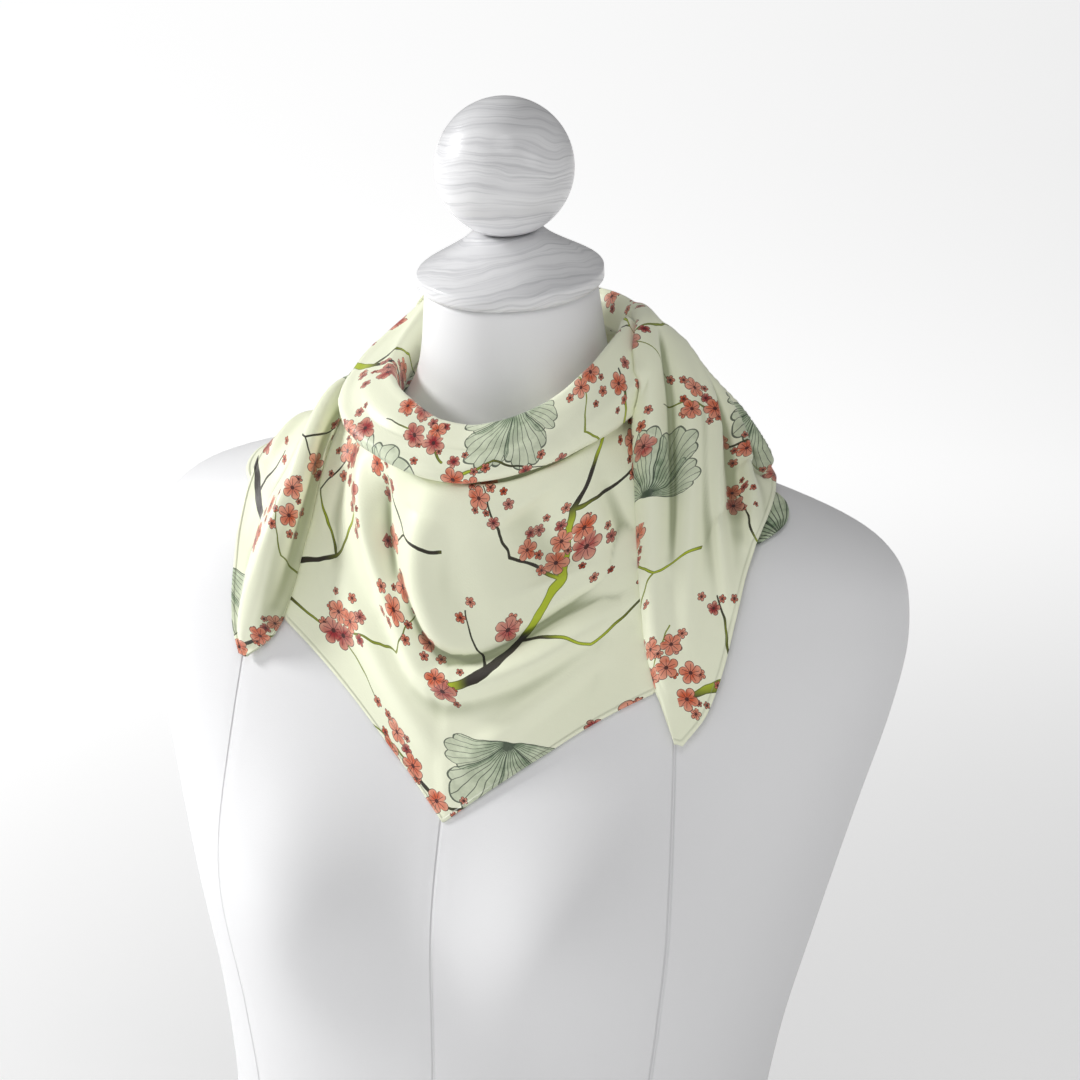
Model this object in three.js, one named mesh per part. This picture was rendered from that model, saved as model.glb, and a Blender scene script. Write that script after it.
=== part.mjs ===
// A silk square scarf, folded corner to corner and worn round the neck of a limbless dress form.
// Millimetres, +Z up. The form faces -Y, and its own left is +X. The origin is the middle of the flat
// underside that the form stands on.

import * as THREE from 'three';

// Driving dimensions of the form and its turned finial
const NECK_TOP = 614;
const NECK_LEAN = THREE.MathUtils.degToRad(11);
const LEAN_START = 560;
const CAP_RIM_RADIUS = 51;
const CAP_RIM_HEIGHT = 8;
const CAP_HEIGHT = 30;
const CAP_TOP_RADIUS = 19;
const CAP_EDGE = 2;
const CAP_HOLLOW = 7;
const BALL_RADIUS = 38;
const BALL_SINK = 3;
const SEAT_GAP = 0.3;

// The dress form: one row for each level ring, from the flat base up to the top of the neck. The
// ring is a rounded oval: half its width, its reach to the front and to the back of its middle line,
// and how square its corners are (2 is an ellipse).
const FORM_RINGS = [
  { level: 0, halfWidth: 164, front: 106, back: 100, middle: 4, square: 2.25 },
  { level: 60, halfWidth: 160, front: 105, back: 96, middle: 4, square: 2.25 },
  { level: 130, halfWidth: 153, front: 103, back: 90, middle: 4, square: 2.2 },
  { level: 200, halfWidth: 163, front: 106, back: 89, middle: 5, square: 2.2 },
  { level: 270, halfWidth: 181, front: 110, back: 93, middle: 8, square: 2.3 },
  { level: 340, halfWidth: 200, front: 107, back: 92, middle: 14, square: 2.45 },
  { level: 400, halfWidth: 217, front: 101, back: 86, middle: 20, square: 2.5 },
  { level: 436, halfWidth: 223, front: 97, back: 79, middle: 24, square: 2.45 },
  { level: 464, halfWidth: 221, front: 91, back: 72, middle: 26, square: 2.35 },
  { level: 484, halfWidth: 210, front: 83, back: 64, middle: 26, square: 2.25 },
  { level: 497, halfWidth: 192, front: 76, back: 57, middle: 25, square: 2.1 },
  { level: 507, halfWidth: 165, front: 70, back: 52, middle: 23, square: 2 },
  { level: 517, halfWidth: 126, front: 63, back: 49, middle: 20, square: 2 },
  { level: 532, halfWidth: 84, front: 57, back: 47, middle: 16, square: 2 },
  { level: 550, halfWidth: 62, front: 52, back: 47, middle: 13, square: 2 },
  { level: 570, halfWidth: 53, front: 49, back: 47, middle: 9, square: 2 },
  { level: 614, halfWidth: 47, front: 47, back: 46, middle: 0, square: 2 },
];
const BUST = { side: 84, level: 285, height: 29, acrossSpread: 54, levelSpread: 58 };

// The cloth: a wall of silk drawn thick enough to be solid. Its middle surface stays this far from
// the form, and the loose ends stay further out, over the front drape.
const CLOTH = 1.6;
const DRAPE_CLEAR = 2;
const END_CLEAR = 5;
const END_OVER_DRAPE = 3.8;
const SEAM_GAP = 0.3;
const NECK_MIDDLE = 8;

// The folded edge round the front of the neck. For each turn round the neck (degrees, 0 in front):
// the reach from the neck's middle line and the level of the top fold and of the crease under it,
// and the level that the drape's hem falls to on the form.
const FRONT_SECTIONS = [
  { turn: -112, topReach: 62, topLevel: 601, creaseReach: 75, creaseLevel: 576, hemLevel: 527 },
  { turn: -90, topReach: 65, topLevel: 581, creaseReach: 81, creaseLevel: 564, hemLevel: 516 },
  { turn: -72, topReach: 67, topLevel: 571, creaseReach: 84, creaseLevel: 555, hemLevel: 492 },
  { turn: -52, topReach: 70, topLevel: 565, creaseReach: 87, creaseLevel: 546, hemLevel: 430 },
  { turn: -26, topReach: 74, topLevel: 557, creaseReach: 90, creaseLevel: 533, hemLevel: 389 },
  { turn: -8, topReach: 76, topLevel: 549.5, creaseReach: 90, creaseLevel: 524, hemLevel: 360 },
  { turn: 4, topReach: 76, topLevel: 548, creaseReach: 89, creaseLevel: 522, hemLevel: 337 },
  { turn: 14, topReach: 76, topLevel: 550.5, creaseReach: 88.5, creaseLevel: 524, hemLevel: 352 },
  { turn: 34, topReach: 74, topLevel: 560, creaseReach: 87, creaseLevel: 533, hemLevel: 381 },
  { turn: 56, topReach: 70, topLevel: 577, creaseReach: 85, creaseLevel: 546, hemLevel: 416 },
  { turn: 74, topReach: 66, topLevel: 589, creaseReach: 81, creaseLevel: 557, hemLevel: 488 },
  { turn: 98, topReach: 62, topLevel: 598, creaseReach: 74, creaseLevel: 568, hemLevel: 520 },
];
const DRAPE_FIRST = -95;
const DRAPE_LAST = 92;
const BAND_SWELL = 4;
const INNER_FACE = { drop: 19, inset: 6 };
const ROLL = 3;
const ROLL_TOP = 3;
const END_RISE = 0.8;
const LARGEST_PUSH = 16;
const EDGE_ROOM = 9;

// The wrap behind the neck, from the left of the collar round the nape to the right end
const BACK_SECTIONS = [
  { turn: 118.8, topReach: 65, topLevel: 601, footReach: 84, footLevel: 551, swell: 5 },
  { turn: 150, topReach: 62, topLevel: 604, footReach: 78, footLevel: 548, swell: 5 },
  { turn: 180, topReach: 60, topLevel: 605, footReach: 76, footLevel: 547, swell: 4 },
  { turn: 215, topReach: 60, topLevel: 604, footReach: 82, footLevel: 549, swell: 4 },
  { turn: 247.2, topReach: 62, topLevel: 601, footReach: 77, footLevel: 572, swell: 5 },
];

// The loose ends: a row for each section from the neck to the tip, with the two edges of the cloth
// and how far its middle is rounded out between them
const RIGHT_END = [
  { along: 0, innerX: 57.4, innerY: 38, innerZ: 601, outerX: 74.2, outerY: 46.9, outerZ: 551, crown: 5 },
  { along: 0.1, innerX: 68, innerY: 17, innerZ: 599, outerX: 97, outerY: 54, outerZ: 539, crown: 6 },
  { along: 0.2, innerX: 73, innerY: -5, innerZ: 587, outerX: 117, outerY: 52, outerZ: 526, crown: 6 },
  { along: 0.3, innerX: 79, innerY: -20, innerZ: 563, outerX: 134, outerY: 40, outerZ: 518, crown: 6 },
  { along: 0.4, innerX: 85, innerY: -31, innerZ: 537, outerX: 147, outerY: 18, outerZ: 511, crown: 5 },
  { along: 0.52, innerX: 93, innerY: -45, innerZ: 504, outerX: 154, outerY: -12, outerZ: 499, crown: 3 },
  { along: 0.66, innerX: 102, innerY: -59, innerZ: 468, outerX: 153, outerY: -38, outerZ: 476, crown: 2 },
  { along: 0.8, innerX: 111, innerY: -69, innerZ: 436, outerX: 150, outerY: -56, outerZ: 436, crown: 1 },
  { along: 0.92, innerX: 121, innerY: -71, innerZ: 410, outerX: 144, outerY: -66, outerZ: 408, crown: 0 },
  { along: 1, innerX: 129, innerY: -74, innerZ: 391, outerX: 133, outerY: -73, outerZ: 390, crown: 0 },
];
const LEFT_END = [
  { along: 0, innerX: -38, innerY: 48, innerZ: 572, outerX: -44, outerY: 56, outerZ: 557, crown: 0 },
  { along: 0.12, innerX: -64, innerY: 34, innerZ: 559, outerX: -80, outerY: 60, outerZ: 533, crown: 0 },
  { along: 0.24, innerX: -77, innerY: 14, innerZ: 552, outerX: -106, outerY: 53, outerZ: 525, crown: 2 },
  { along: 0.36, innerX: -85, innerY: -6, innerZ: 544, outerX: -121, outerY: 36, outerZ: 516, crown: 4 },
  { along: 0.5, innerX: -91, innerY: -34, innerZ: 514, outerX: -131, outerY: 6, outerZ: 508, crown: 3 },
  { along: 0.64, innerX: -97, innerY: -54, innerZ: 474, outerX: -134, outerY: -26, outerZ: 487, crown: 2 },
  { along: 0.78, innerX: -103, innerY: -65, innerZ: 440, outerX: -134, outerY: -49, outerZ: 450, crown: 1 },
  { along: 0.9, innerX: -110, innerY: -70, innerZ: 420, outerX: -132, outerY: -62, outerZ: 424, crown: 0 },
  { along: 1, innerX: -122, innerY: -70, innerZ: 407, outerX: -126, outerY: -69, outerZ: 408, crown: 0 },
];

// The largest folds: ridges and troughs that run from one place on the cloth to another, in shares
// of the piece's width and length
const DRAPE_FOLDS = [
  { from: [0.28, 0.3], to: [0.62, 0.42], width: 0.1, height: -5 },
  { from: [0.34, 0.66], to: [0.62, 0.63], width: 0.07, height: 3 },
  { from: [0.16, 0.3], to: [0.32, 0.62], width: 0.06, height: 2.5 },
  { from: [0.72, 0.2], to: [0.78, 0.8], width: 0.06, height: -2.5 },
];
const RIGHT_FOLDS = [
  { from: [0.12, 0.02], to: [0.12, 0.62], width: 0.07, height: 3 },
  { from: [0.27, 0.02], to: [0.25, 0.5], width: 0.07, height: -3 },
  { from: [0.5, 0.1], to: [0.74, 0.8], width: 0.05, height: -4.5 },
  { from: [0.64, 0.05], to: [0.83, 0.82], width: 0.05, height: 2.5 },
  { from: [0.76, 0.1], to: [0.91, 0.8], width: 0.04, height: -3.5 },
];
const LEFT_FOLDS = [
  { from: [0.72, 0.2], to: [0.66, 0.9], width: 0.08, height: -4 },
  { from: [0.55, 0.2], to: [0.5, 0.9], width: 0.08, height: 3 },
  { from: [0.3, 0.3], to: [0.3, 0.75], width: 0.08, height: -2.5 },
];

// Mesh sizes
const FORM_AROUND = 44;
const FORM_STEPS = 34;
const LATHE_AROUND = 36;
const BALL_STEPS = 16;
const DRAPE_AROUND = 36;
const DRAPE_DOWN = 18;
const BACK_AROUND = 18;
const END_ALONG = 28;
const END_ACROSS = 12;

const FORM_LOOK = { color: 0xf2f2f3, roughness: 0.45, metalness: 0 };
const WOOD_LOOK = { color: 0xe6e6e8, roughness: 0.3, metalness: 0 };
const SILK_LOOK = { color: 0xe3e8d0, roughness: 0.4, metalness: 0 };

// A value of a table's column at any key, on smooth cubic pieces between its rows
function tableValue(rows, key, column, at) {
  const last = rows.length - 1;
  if (at <= rows[0][key]) return rows[0][column];
  if (at >= rows[last][key]) return rows[last][column];
  let low = 0;
  while (rows[low + 1][key] < at) low += 1;
  const before = rows[Math.max(low - 1, 0)];
  const start = rows[low];
  const end = rows[low + 1];
  const after = rows[Math.min(low + 2, last)];
  const span = end[key] - start[key];
  const startSlope = slope(before, start, end, key, column) * span;
  const endSlope = slope(start, end, after, key, column) * span;
  const t = (at - start[key]) / span;
  const rise = t * t * (3 - 2 * t);
  return start[column] * (1 - rise) + end[column] * rise
    + startSlope * t * (1 - t) * (1 - t) - endSlope * t * t * (1 - t);
}

// The same on straight lines between the rows, for an edge with a sharp corner
function straightValue(rows, key, column, at) {
  let low = 0;
  while (low < rows.length - 2 && rows[low + 1][key] < at) low += 1;
  const share = (at - rows[low][key]) / (rows[low + 1][key] - rows[low][key]);
  return rows[low][column] + (rows[low + 1][column] - rows[low][column]) * share;
}

// The slope at a row between its neighbours, flat where the column turns back
function slope(before, here, after, key, column) {
  if (before === here) return (after[column] - here[column]) / (after[key] - here[key]);
  if (after === here) return (here[column] - before[column]) / (here[key] - before[key]);
  const left = (here[column] - before[column]) / (here[key] - before[key]);
  const right = (after[column] - here[column]) / (after[key] - here[key]);
  return left * right <= 0 ? 0 : (2 * left * right) / (left + right);
}

// How far the form's front reaches at a level, with the rounding of the bust
function frontReach(x, level) {
  const offAcross = (Math.abs(x) - BUST.side) / BUST.acrossSpread;
  const offLevel = (level - BUST.level) / BUST.levelSpread;
  const bust = BUST.height * Math.exp(-(offAcross ** 2) - offLevel ** 2);
  return tableValue(FORM_RINGS, 'level', 'front', level) + bust;
}

// A point of the form's skin: the turn is 0 at the centre front and grows towards the form's left
function formPoint(turn, level) {
  const at = (column) => tableValue(FORM_RINGS, 'level', column, level);
  const power = 2 / at('square');
  const across = Math.sin(turn);
  const ahead = Math.cos(turn);
  const x = Math.sign(across) * Math.abs(across) ** power * at('halfWidth');
  const reach = ahead > 0 ? frontReach(x, level) : at('back');
  const y = at('middle') - Math.sign(ahead) * Math.abs(ahead) ** power * reach;
  return new THREE.Vector3(x, y, level);
}

// 0 on the form's skin, more outside it and less inside
function formField(point) {
  const at = (column) => tableValue(FORM_RINGS, 'level', column, point.z);
  const ahead = at('middle') - point.y;
  const reach = ahead > 0 ? frontReach(point.x, point.z) : at('back');
  const across = Math.abs(point.x) / at('halfWidth');
  return (across ** at('square') + (Math.abs(ahead) / reach) ** at('square')) ** (1 / at('square')) - 1;
}

// Moves a point straight out from the form until it is clear of the skin by the given gap
function clearOfForm(point, gap) {
  const probe = 0.5;
  const settled = point.clone();
  for (let pass = 0; pass < 4; pass += 1) {
    const uphill = new THREE.Vector3();
    for (const axis of ['x', 'y', 'z']) {
      const ahead = settled.clone();
      const behind = settled.clone();
      ahead[axis] += probe;
      behind[axis] -= probe;
      uphill[axis] = (formField(ahead) - formField(behind)) / (2 * probe);
    }
    const distance = formField(settled) / uphill.length();
    if (distance >= gap) break;
    settled.addScaledVector(uphill.normalize(), gap - distance);
  }
  return settled;
}

// The skin's reach from the neck's middle line in one direction at a level
function skinReach(turn, level) {
  let near = 0;
  let far = 260;
  for (let pass = 0; pass < 30; pass += 1) {
    const middle = (near + far) / 2;
    if (formField(roundNeck(turn, middle, level)) < 0) near = middle;
    else far = middle;
  }
  return far;
}

// A point given by its turn round the neck in degrees, its reach from the middle line and its level
function roundNeck(turn, reach, level) {
  const angle = THREE.MathUtils.degToRad(turn);
  return new THREE.Vector3(Math.sin(angle) * reach, NECK_MIDDLE - Math.cos(angle) * reach, level);
}

// The height of the folds at a place on a piece, each dying away at its sides and past its ends
function foldHeight(folds, across, down) {
  let height = 0;
  for (const fold of folds) {
    const runAcross = fold.to[0] - fold.from[0];
    const runDown = fold.to[1] - fold.from[1];
    const length = runAcross ** 2 + runDown ** 2;
    const share = ((across - fold.from[0]) * runAcross + (down - fold.from[1]) * runDown) / length;
    const nearest = THREE.MathUtils.clamp(share, 0, 1);
    const offAcross = across - fold.from[0] - nearest * runAcross;
    const offDown = down - fold.from[1] - nearest * runDown;
    height += fold.height * Math.exp(-(offAcross ** 2 + offDown ** 2) / fold.width ** 2);
  }
  return height;
}

// The folded edge in front: up the inner face, over the roll and down the outer face to the crease
function collarPath(turn) {
  const at = (column) => tableValue(FRONT_SECTIONS, 'turn', column, turn);
  const topReach = at('topReach');
  const topLevel = at('topLevel');
  const fall = topLevel - at('creaseLevel');
  const spread = at('creaseReach') - topReach;
  return [
    [topReach - INNER_FACE.inset, topLevel - INNER_FACE.drop],
    [topReach - INNER_FACE.inset * 0.8, topLevel - INNER_FACE.drop * 0.5],
    [topReach - ROLL, topLevel - ROLL],
    [topReach, topLevel],
    [topReach + ROLL, topLevel - ROLL * 0.7],
    [topReach + spread * 0.5 + BAND_SWELL, topLevel - fall * 0.42],
    [topReach + spread * 0.85 + BAND_SWELL, topLevel - fall * 0.78],
    [at('creaseReach'), at('creaseLevel')],
  ].map(([reach, level]) => roundNeck(turn, reach, level));
}

// The front drape falls from the crease, swells, and runs down the form to its hem
function drapePath(turn) {
  const at = (column) => tableValue(FRONT_SECTIONS, 'turn', column, turn);
  const head = roundNeck(turn, at('creaseReach'), at('creaseLevel') - CLOTH * 0.7 - SEAM_GAP);
  const hemLevel = straightValue(FRONT_SECTIONS, 'turn', 'hemLevel', turn);
  const hem = roundNeck(turn, skinReach(turn, hemLevel) + DRAPE_CLEAR, hemLevel);
  return [head, head.clone().lerp(hem, 0.5), hem];
}

// Points at even shares of a smooth curve through the given points
function spread(points, steps) {
  const curve = new THREE.CatmullRomCurve3(points, false, 'centripetal');
  return curve.getSpacedPoints(steps);
}

// The drape's section in one direction, resting on the form
function drapeLine(turn) {
  return spread(drapePath(turn), DRAPE_DOWN).map((point) => clearOfForm(point, DRAPE_CLEAR));
}

// Moves a point of a loose end out until it is clear of the collar and the drape under it. The
// test is made in the upright plane through the point and the neck's middle line.
function clearOfDrape(point) {
  const turn = THREE.MathUtils.radToDeg(Math.atan2(point.x, NECK_MIDDLE - point.y));
  if (turn < FRONT_SECTIONS[0].turn + 4 || turn > FRONT_SECTIONS[FRONT_SECTIONS.length - 1].turn) return point;
  const under = spread(collarPath(turn).slice(ROLL_TOP), 5);
  if (turn > DRAPE_FIRST - EDGE_ROOM && turn < DRAPE_LAST + EDGE_ROOM) under.push(...drapeLine(turn));
  const flat = under.map((place) => inPlane(place));
  const here = inPlane(point);
  let best = null;
  for (let index = 0; index < flat.length - 1; index += 1) {
    const run = flat[index + 1].clone().sub(flat[index]);
    const share = here.clone().sub(flat[index]).dot(run) / run.lengthSq();
    const nearest = flat[index].clone().addScaledVector(run, THREE.MathUtils.clamp(share, 0, 1));
    const off = here.clone().sub(nearest);
    if (best && off.length() >= best.off.length()) continue;
    const past = (index === 0 && share < 0) || (index === flat.length - 2 && share > 1);
    best = { off, past, out: new THREE.Vector2(-run.y, run.x).normalize() };
  }
  const missing = END_OVER_DRAPE - best.off.length() * Math.sign(best.off.dot(best.out));
  if (missing <= 0 || missing > LARGEST_PUSH || (best.past && best.off.length() > END_OVER_DRAPE)) return point;
  const moved = here.addScaledVector(best.out, missing);
  return roundNeck(turn, moved.x, moved.y);
}

// A point's reach from the neck's middle line and its level
function inPlane(point) {
  return new THREE.Vector2(Math.hypot(point.x, point.y - NECK_MIDDLE), point.z);
}

// A wall of even thickness about a grid of points on the cloth's middle surface
function wallFromGrid(grid) {
  const rows = grid.length;
  const columns = grid[0].length;
  const outer = [];
  const inner = [];
  for (let row = 0; row < rows; row += 1) {
    for (let column = 0; column < columns; column += 1) {
      const lift = gridNormal(grid, row, column).multiplyScalar(CLOTH / 2);
      outer.push(grid[row][column].clone().add(lift));
      inner.push(grid[row][column].clone().sub(lift));
    }
  }
  const faces = [];
  const back = rows * columns;
  const quad = (a, b, c, d) => faces.push(a, b, c, a, c, d);
  for (let row = 0; row < rows - 1; row += 1) {
    for (let column = 0; column < columns - 1; column += 1) {
      const here = row * columns + column;
      const below = here + columns;
      quad(here, here + 1, below + 1, below);
      quad(back + here, back + below, back + below + 1, back + here + 1);
    }
  }
  const rim = [];
  for (let column = 0; column < columns - 1; column += 1) rim.push(column);
  for (let row = 0; row < rows - 1; row += 1) rim.push(row * columns + columns - 1);
  for (let column = columns - 1; column > 0; column -= 1) rim.push((rows - 1) * columns + column);
  for (let row = rows - 1; row > 0; row -= 1) rim.push(row * columns);
  rim.forEach((here, index) => {
    const next = rim[(index + 1) % rim.length];
    quad(here, back + here, back + next, next);
  });
  return geometryOf([...outer, ...inner], faces);
}

// The direction square to a grid at one of its points
function gridNormal(grid, row, column) {
  const above = grid[Math.max(row - 1, 0)][column];
  const below = grid[Math.min(row + 1, grid.length - 1)][column];
  const left = grid[row][Math.max(column - 1, 0)];
  const right = grid[row][Math.min(column + 1, grid[0].length - 1)];
  return right.clone().sub(left).cross(below.clone().sub(above)).normalize();
}

// Lifts a grid's points along its normals by the height of its folds
function foldGrid(grid, folds) {
  const rows = grid.length - 1;
  const columns = grid[0].length - 1;
  return grid.map((line, row) => line.map((point, column) => {
    const height = foldHeight(folds, row / rows, column / columns);
    return point.clone().addScaledVector(gridNormal(grid, row, column), height);
  }));
}

// A closed solid from rings of points: neighbouring rings are joined, and both ends are capped flat
function solidFromRings(rings) {
  const around = rings[0].length;
  const points = rings.flat();
  const faces = [];
  for (let ring = 0; ring < rings.length - 1; ring += 1) {
    for (let side = 0; side < around; side += 1) {
      const next = (side + 1) % around;
      const here = ring * around;
      const above = here + around;
      faces.push(here + side, here + next, above + next);
      faces.push(here + side, above + next, above + side);
    }
  }
  addCap(points, faces, rings[0], 0, true);
  addCap(points, faces, rings[rings.length - 1], (rings.length - 1) * around, false);
  return geometryOf(points, faces);
}

// A fan of triangles from the middle of a ring closes one end
function addCap(points, faces, ring, first, facesDown) {
  const middle = new THREE.Vector3();
  for (const point of ring) middle.add(point);
  const centre = points.push(middle.divideScalar(ring.length)) - 1;
  for (let side = 0; side < ring.length; side += 1) {
    const here = first + side;
    const next = first + (side + 1) % ring.length;
    if (facesDown) faces.push(centre, next, here);
    else faces.push(centre, here, next);
  }
}

function geometryOf(points, faces) {
  const geometry = new THREE.BufferGeometry();
  geometry.setFromPoints(points);
  geometry.setIndex(faces);
  geometry.computeVertexNormals();
  return geometry;
}

function piece(name, geometry, look) {
  const mesh = new THREE.Mesh(geometry, new THREE.MeshStandardMaterial(look));
  mesh.name = name;
  return mesh;
}

// The form's torso and neck are one skin of level rings, closer together over the shoulders
function makeTorso() {
  const rings = [];
  for (let step = 0; step <= FORM_STEPS; step += 1) {
    const level = NECK_TOP * (step / FORM_STEPS) ** 0.62;
    const ring = [];
    const lean = Math.tan(NECK_LEAN) * THREE.MathUtils.smoothstep(level, LEAN_START, NECK_TOP);
    for (let side = 0; side < FORM_AROUND; side += 1) {
      const point = formPoint((side / FORM_AROUND) * 2 * Math.PI, level);
      point.z += lean * (point.y - tableValue(FORM_RINGS, 'level', 'middle', level));
      ring.push(point);
    }
    rings.push(ring);
  }
  return piece('torso', solidFromRings(rings), FORM_LOOK);
}

// The turned finial stands square on the leaning neck: a cone on a thick rim, and a ball
function makeFinial() {
  const capProfile = [
    [0, 0],
    [CAP_RIM_RADIUS - CAP_EDGE, 0],
    [CAP_RIM_RADIUS, CAP_EDGE],
    [CAP_RIM_RADIUS, CAP_RIM_HEIGHT],
    [CAP_RIM_RADIUS - CAP_EDGE, CAP_RIM_HEIGHT + CAP_EDGE],
    [CAP_TOP_RADIUS + CAP_HOLLOW, CAP_HEIGHT - CAP_HOLLOW],
    [CAP_TOP_RADIUS, CAP_HEIGHT],
    [0, CAP_HEIGHT],
  ].map(([radius, height]) => new THREE.Vector2(radius, height));
  const seat = BALL_SINK - BALL_RADIUS;
  const seatAngle = Math.asin(seat / BALL_RADIUS);
  const ballProfile = [new THREE.Vector2(0, seat)];
  for (let step = 0; step < BALL_STEPS; step += 1) {
    const angle = seatAngle + ((Math.PI / 2 - seatAngle) * step) / BALL_STEPS;
    ballProfile.push(new THREE.Vector2(Math.cos(angle), Math.sin(angle)).multiplyScalar(BALL_RADIUS));
  }
  ballProfile.push(new THREE.Vector2(0, BALL_RADIUS));
  const cap = piece('neck_cap', new THREE.LatheGeometry(capProfile, LATHE_AROUND), WOOD_LOOK);
  const ball = piece('ball_finial', new THREE.LatheGeometry(ballProfile, LATHE_AROUND), WOOD_LOOK);
  cap.rotation.x = Math.PI / 2;
  ball.rotation.x = Math.PI / 2;
  ball.position.z = CAP_HEIGHT + SEAT_GAP - seat;
  const finial = new THREE.Group();
  finial.position.set(0, FORM_RINGS[FORM_RINGS.length - 1].middle, NECK_TOP + SEAT_GAP);
  finial.rotation.x = NECK_LEAN;
  finial.add(cap, ball);
  return finial;
}

function evenTurns(first, last, steps) {
  return Array.from({ length: steps + 1 }, (unused, step) => first + ((last - first) * step) / steps);
}

function makeCollar() {
  const first = FRONT_SECTIONS[0].turn;
  const last = FRONT_SECTIONS[FRONT_SECTIONS.length - 1].turn;
  const grid = evenTurns(first, last, DRAPE_AROUND).map((turn) => spread(collarPath(turn), 9));
  return piece('scarf_collar', wallFromGrid(grid), SILK_LOOK);
}

function makeDrape() {
  const plain = evenTurns(DRAPE_FIRST, DRAPE_LAST, DRAPE_AROUND).map(drapeLine);
  const grid = foldGrid(plain, DRAPE_FOLDS)
    .map((line) => line.map((point) => clearOfForm(point, DRAPE_CLEAR)));
  return piece('scarf_bib', wallFromGrid(grid), SILK_LOOK);
}

function makeBack() {
  const grid = [];
  const first = BACK_SECTIONS[0].turn;
  const last = BACK_SECTIONS[BACK_SECTIONS.length - 1].turn;
  for (let step = 0; step <= BACK_AROUND; step += 1) {
    const turn = first + ((last - first) * step) / BACK_AROUND;
    const at = (column) => tableValue(BACK_SECTIONS, 'turn', column, turn);
    const top = [at('topReach'), at('topLevel')];
    const foot = [at('footReach'), at('footLevel')];
    const path = [
      [top[0] - INNER_FACE.inset, top[1] - INNER_FACE.drop],
      [top[0] - ROLL, top[1] - ROLL],
      top,
      [top[0] + ROLL, top[1] - ROLL * 0.7],
      [(top[0] + foot[0]) / 2 + at('swell'), (top[1] + foot[1]) / 2],
      foot,
    ].map(([reach, level]) => roundNeck(turn, reach, level));
    grid.push(spread(path, 11).map((point) => clearOfForm(point, DRAPE_CLEAR)));
  }
  return piece('scarf_back', wallFromGrid(grid), SILK_LOOK);
}

// A loose end: each section is a shallow arc from its inner edge to its outer edge, which rests on
// the form and on the drape
function endLine(rows, along) {
  const at = (column) => tableValue(rows, 'along', column, along);
  const inner = new THREE.Vector3(at('innerX'), at('innerY'), at('innerZ'));
  const outer = new THREE.Vector3(at('outerX'), at('outerY'), at('outerZ'));
  const line = [];
  for (let side = 0; side <= END_ACROSS; side += 1) {
    const share = side / END_ACROSS;
    const point = inner.clone().lerp(outer, share);
    const away = new THREE.Vector3(point.x, point.y - NECK_MIDDLE, 0).normalize();
    away.z = END_RISE;
    point.addScaledVector(away.normalize(), at('crown') * 4 * share * (1 - share));
    line.push(clearOfDrape(clearOfForm(point, END_CLEAR)));
  }
  return line;
}

function makeEnd(name, rows, folds) {
  const lines = [];
  for (let step = 0; step <= END_ALONG; step += 1) lines.push(endLine(rows, step / END_ALONG));
  const leftSide = rows[0].innerX < 0;
  const across = lines[0].map((unused, side) => lines.map((line) => line[side]));
  const grid = leftSide ? across.reverse() : across;
  const settled = foldGrid(grid, folds).map((line) => line.map((point) => clearOfDrape(clearOfForm(point, END_CLEAR))));
  return piece(name, wallFromGrid(settled), SILK_LOOK);
}

const scarfOnForm = new THREE.Group();
scarfOnForm.add(
  makeTorso(),
  makeFinial(),
  makeCollar(),
  makeDrape(),
  makeBack(),
  makeEnd('scarf_right_end', RIGHT_END, RIGHT_FOLDS),
  makeEnd('scarf_left_end', LEFT_END, LEFT_FOLDS),
);

export default scarfOnForm;
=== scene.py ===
# %% [markdown]
# # A silk square scarf on a dress form
# The scarf is one square of printed silk, folded corner to corner and laid round the neck with its point
# to the front. Its two ends cross at the nape and come forward over the shoulders. The form under it is
# a limbless body in a white satin cover, with a turned and painted cap and ball.

import math

import bpy
import numpy as np
from mathutils import Matrix, Vector
from mathutils.bvhtree import BVHTree


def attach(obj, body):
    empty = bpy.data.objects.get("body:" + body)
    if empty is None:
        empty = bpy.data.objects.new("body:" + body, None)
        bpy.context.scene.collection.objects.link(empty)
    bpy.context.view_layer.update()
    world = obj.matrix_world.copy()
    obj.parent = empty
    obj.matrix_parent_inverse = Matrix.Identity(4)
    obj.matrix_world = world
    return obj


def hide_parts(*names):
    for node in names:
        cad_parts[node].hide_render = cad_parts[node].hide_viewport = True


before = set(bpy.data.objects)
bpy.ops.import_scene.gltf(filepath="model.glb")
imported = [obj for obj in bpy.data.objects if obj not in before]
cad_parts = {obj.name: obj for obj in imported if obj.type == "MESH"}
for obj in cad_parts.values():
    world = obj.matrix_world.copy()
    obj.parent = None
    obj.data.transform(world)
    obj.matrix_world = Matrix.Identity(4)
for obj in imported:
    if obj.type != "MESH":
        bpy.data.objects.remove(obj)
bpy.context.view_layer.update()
print("solids:", sorted(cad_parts))


# %% [markdown]
# The camera is set from four facts that were read off the picture: it stands 22 degrees round to the
# form's left, looks 13 degrees down, is rolled a little, and one pixel covers 0.54 mm at the neck.
# A long lens from 2 m keeps the sides of the neck nearly parallel, as in the picture.

# %% Camera
VIEW_TURN = math.radians(22)
VIEW_RISE = math.radians(13.2)
VIEW_ROLL = math.radians(1.3)
VIEW_DISTANCE = 2.0
SENSOR = 36
PIXEL = 0.00054
PICTURE = 1080
CAP_PLACE = Vector((0, -0.001, 0.620))
CAP_PIXEL = (510.5, 272)


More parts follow.
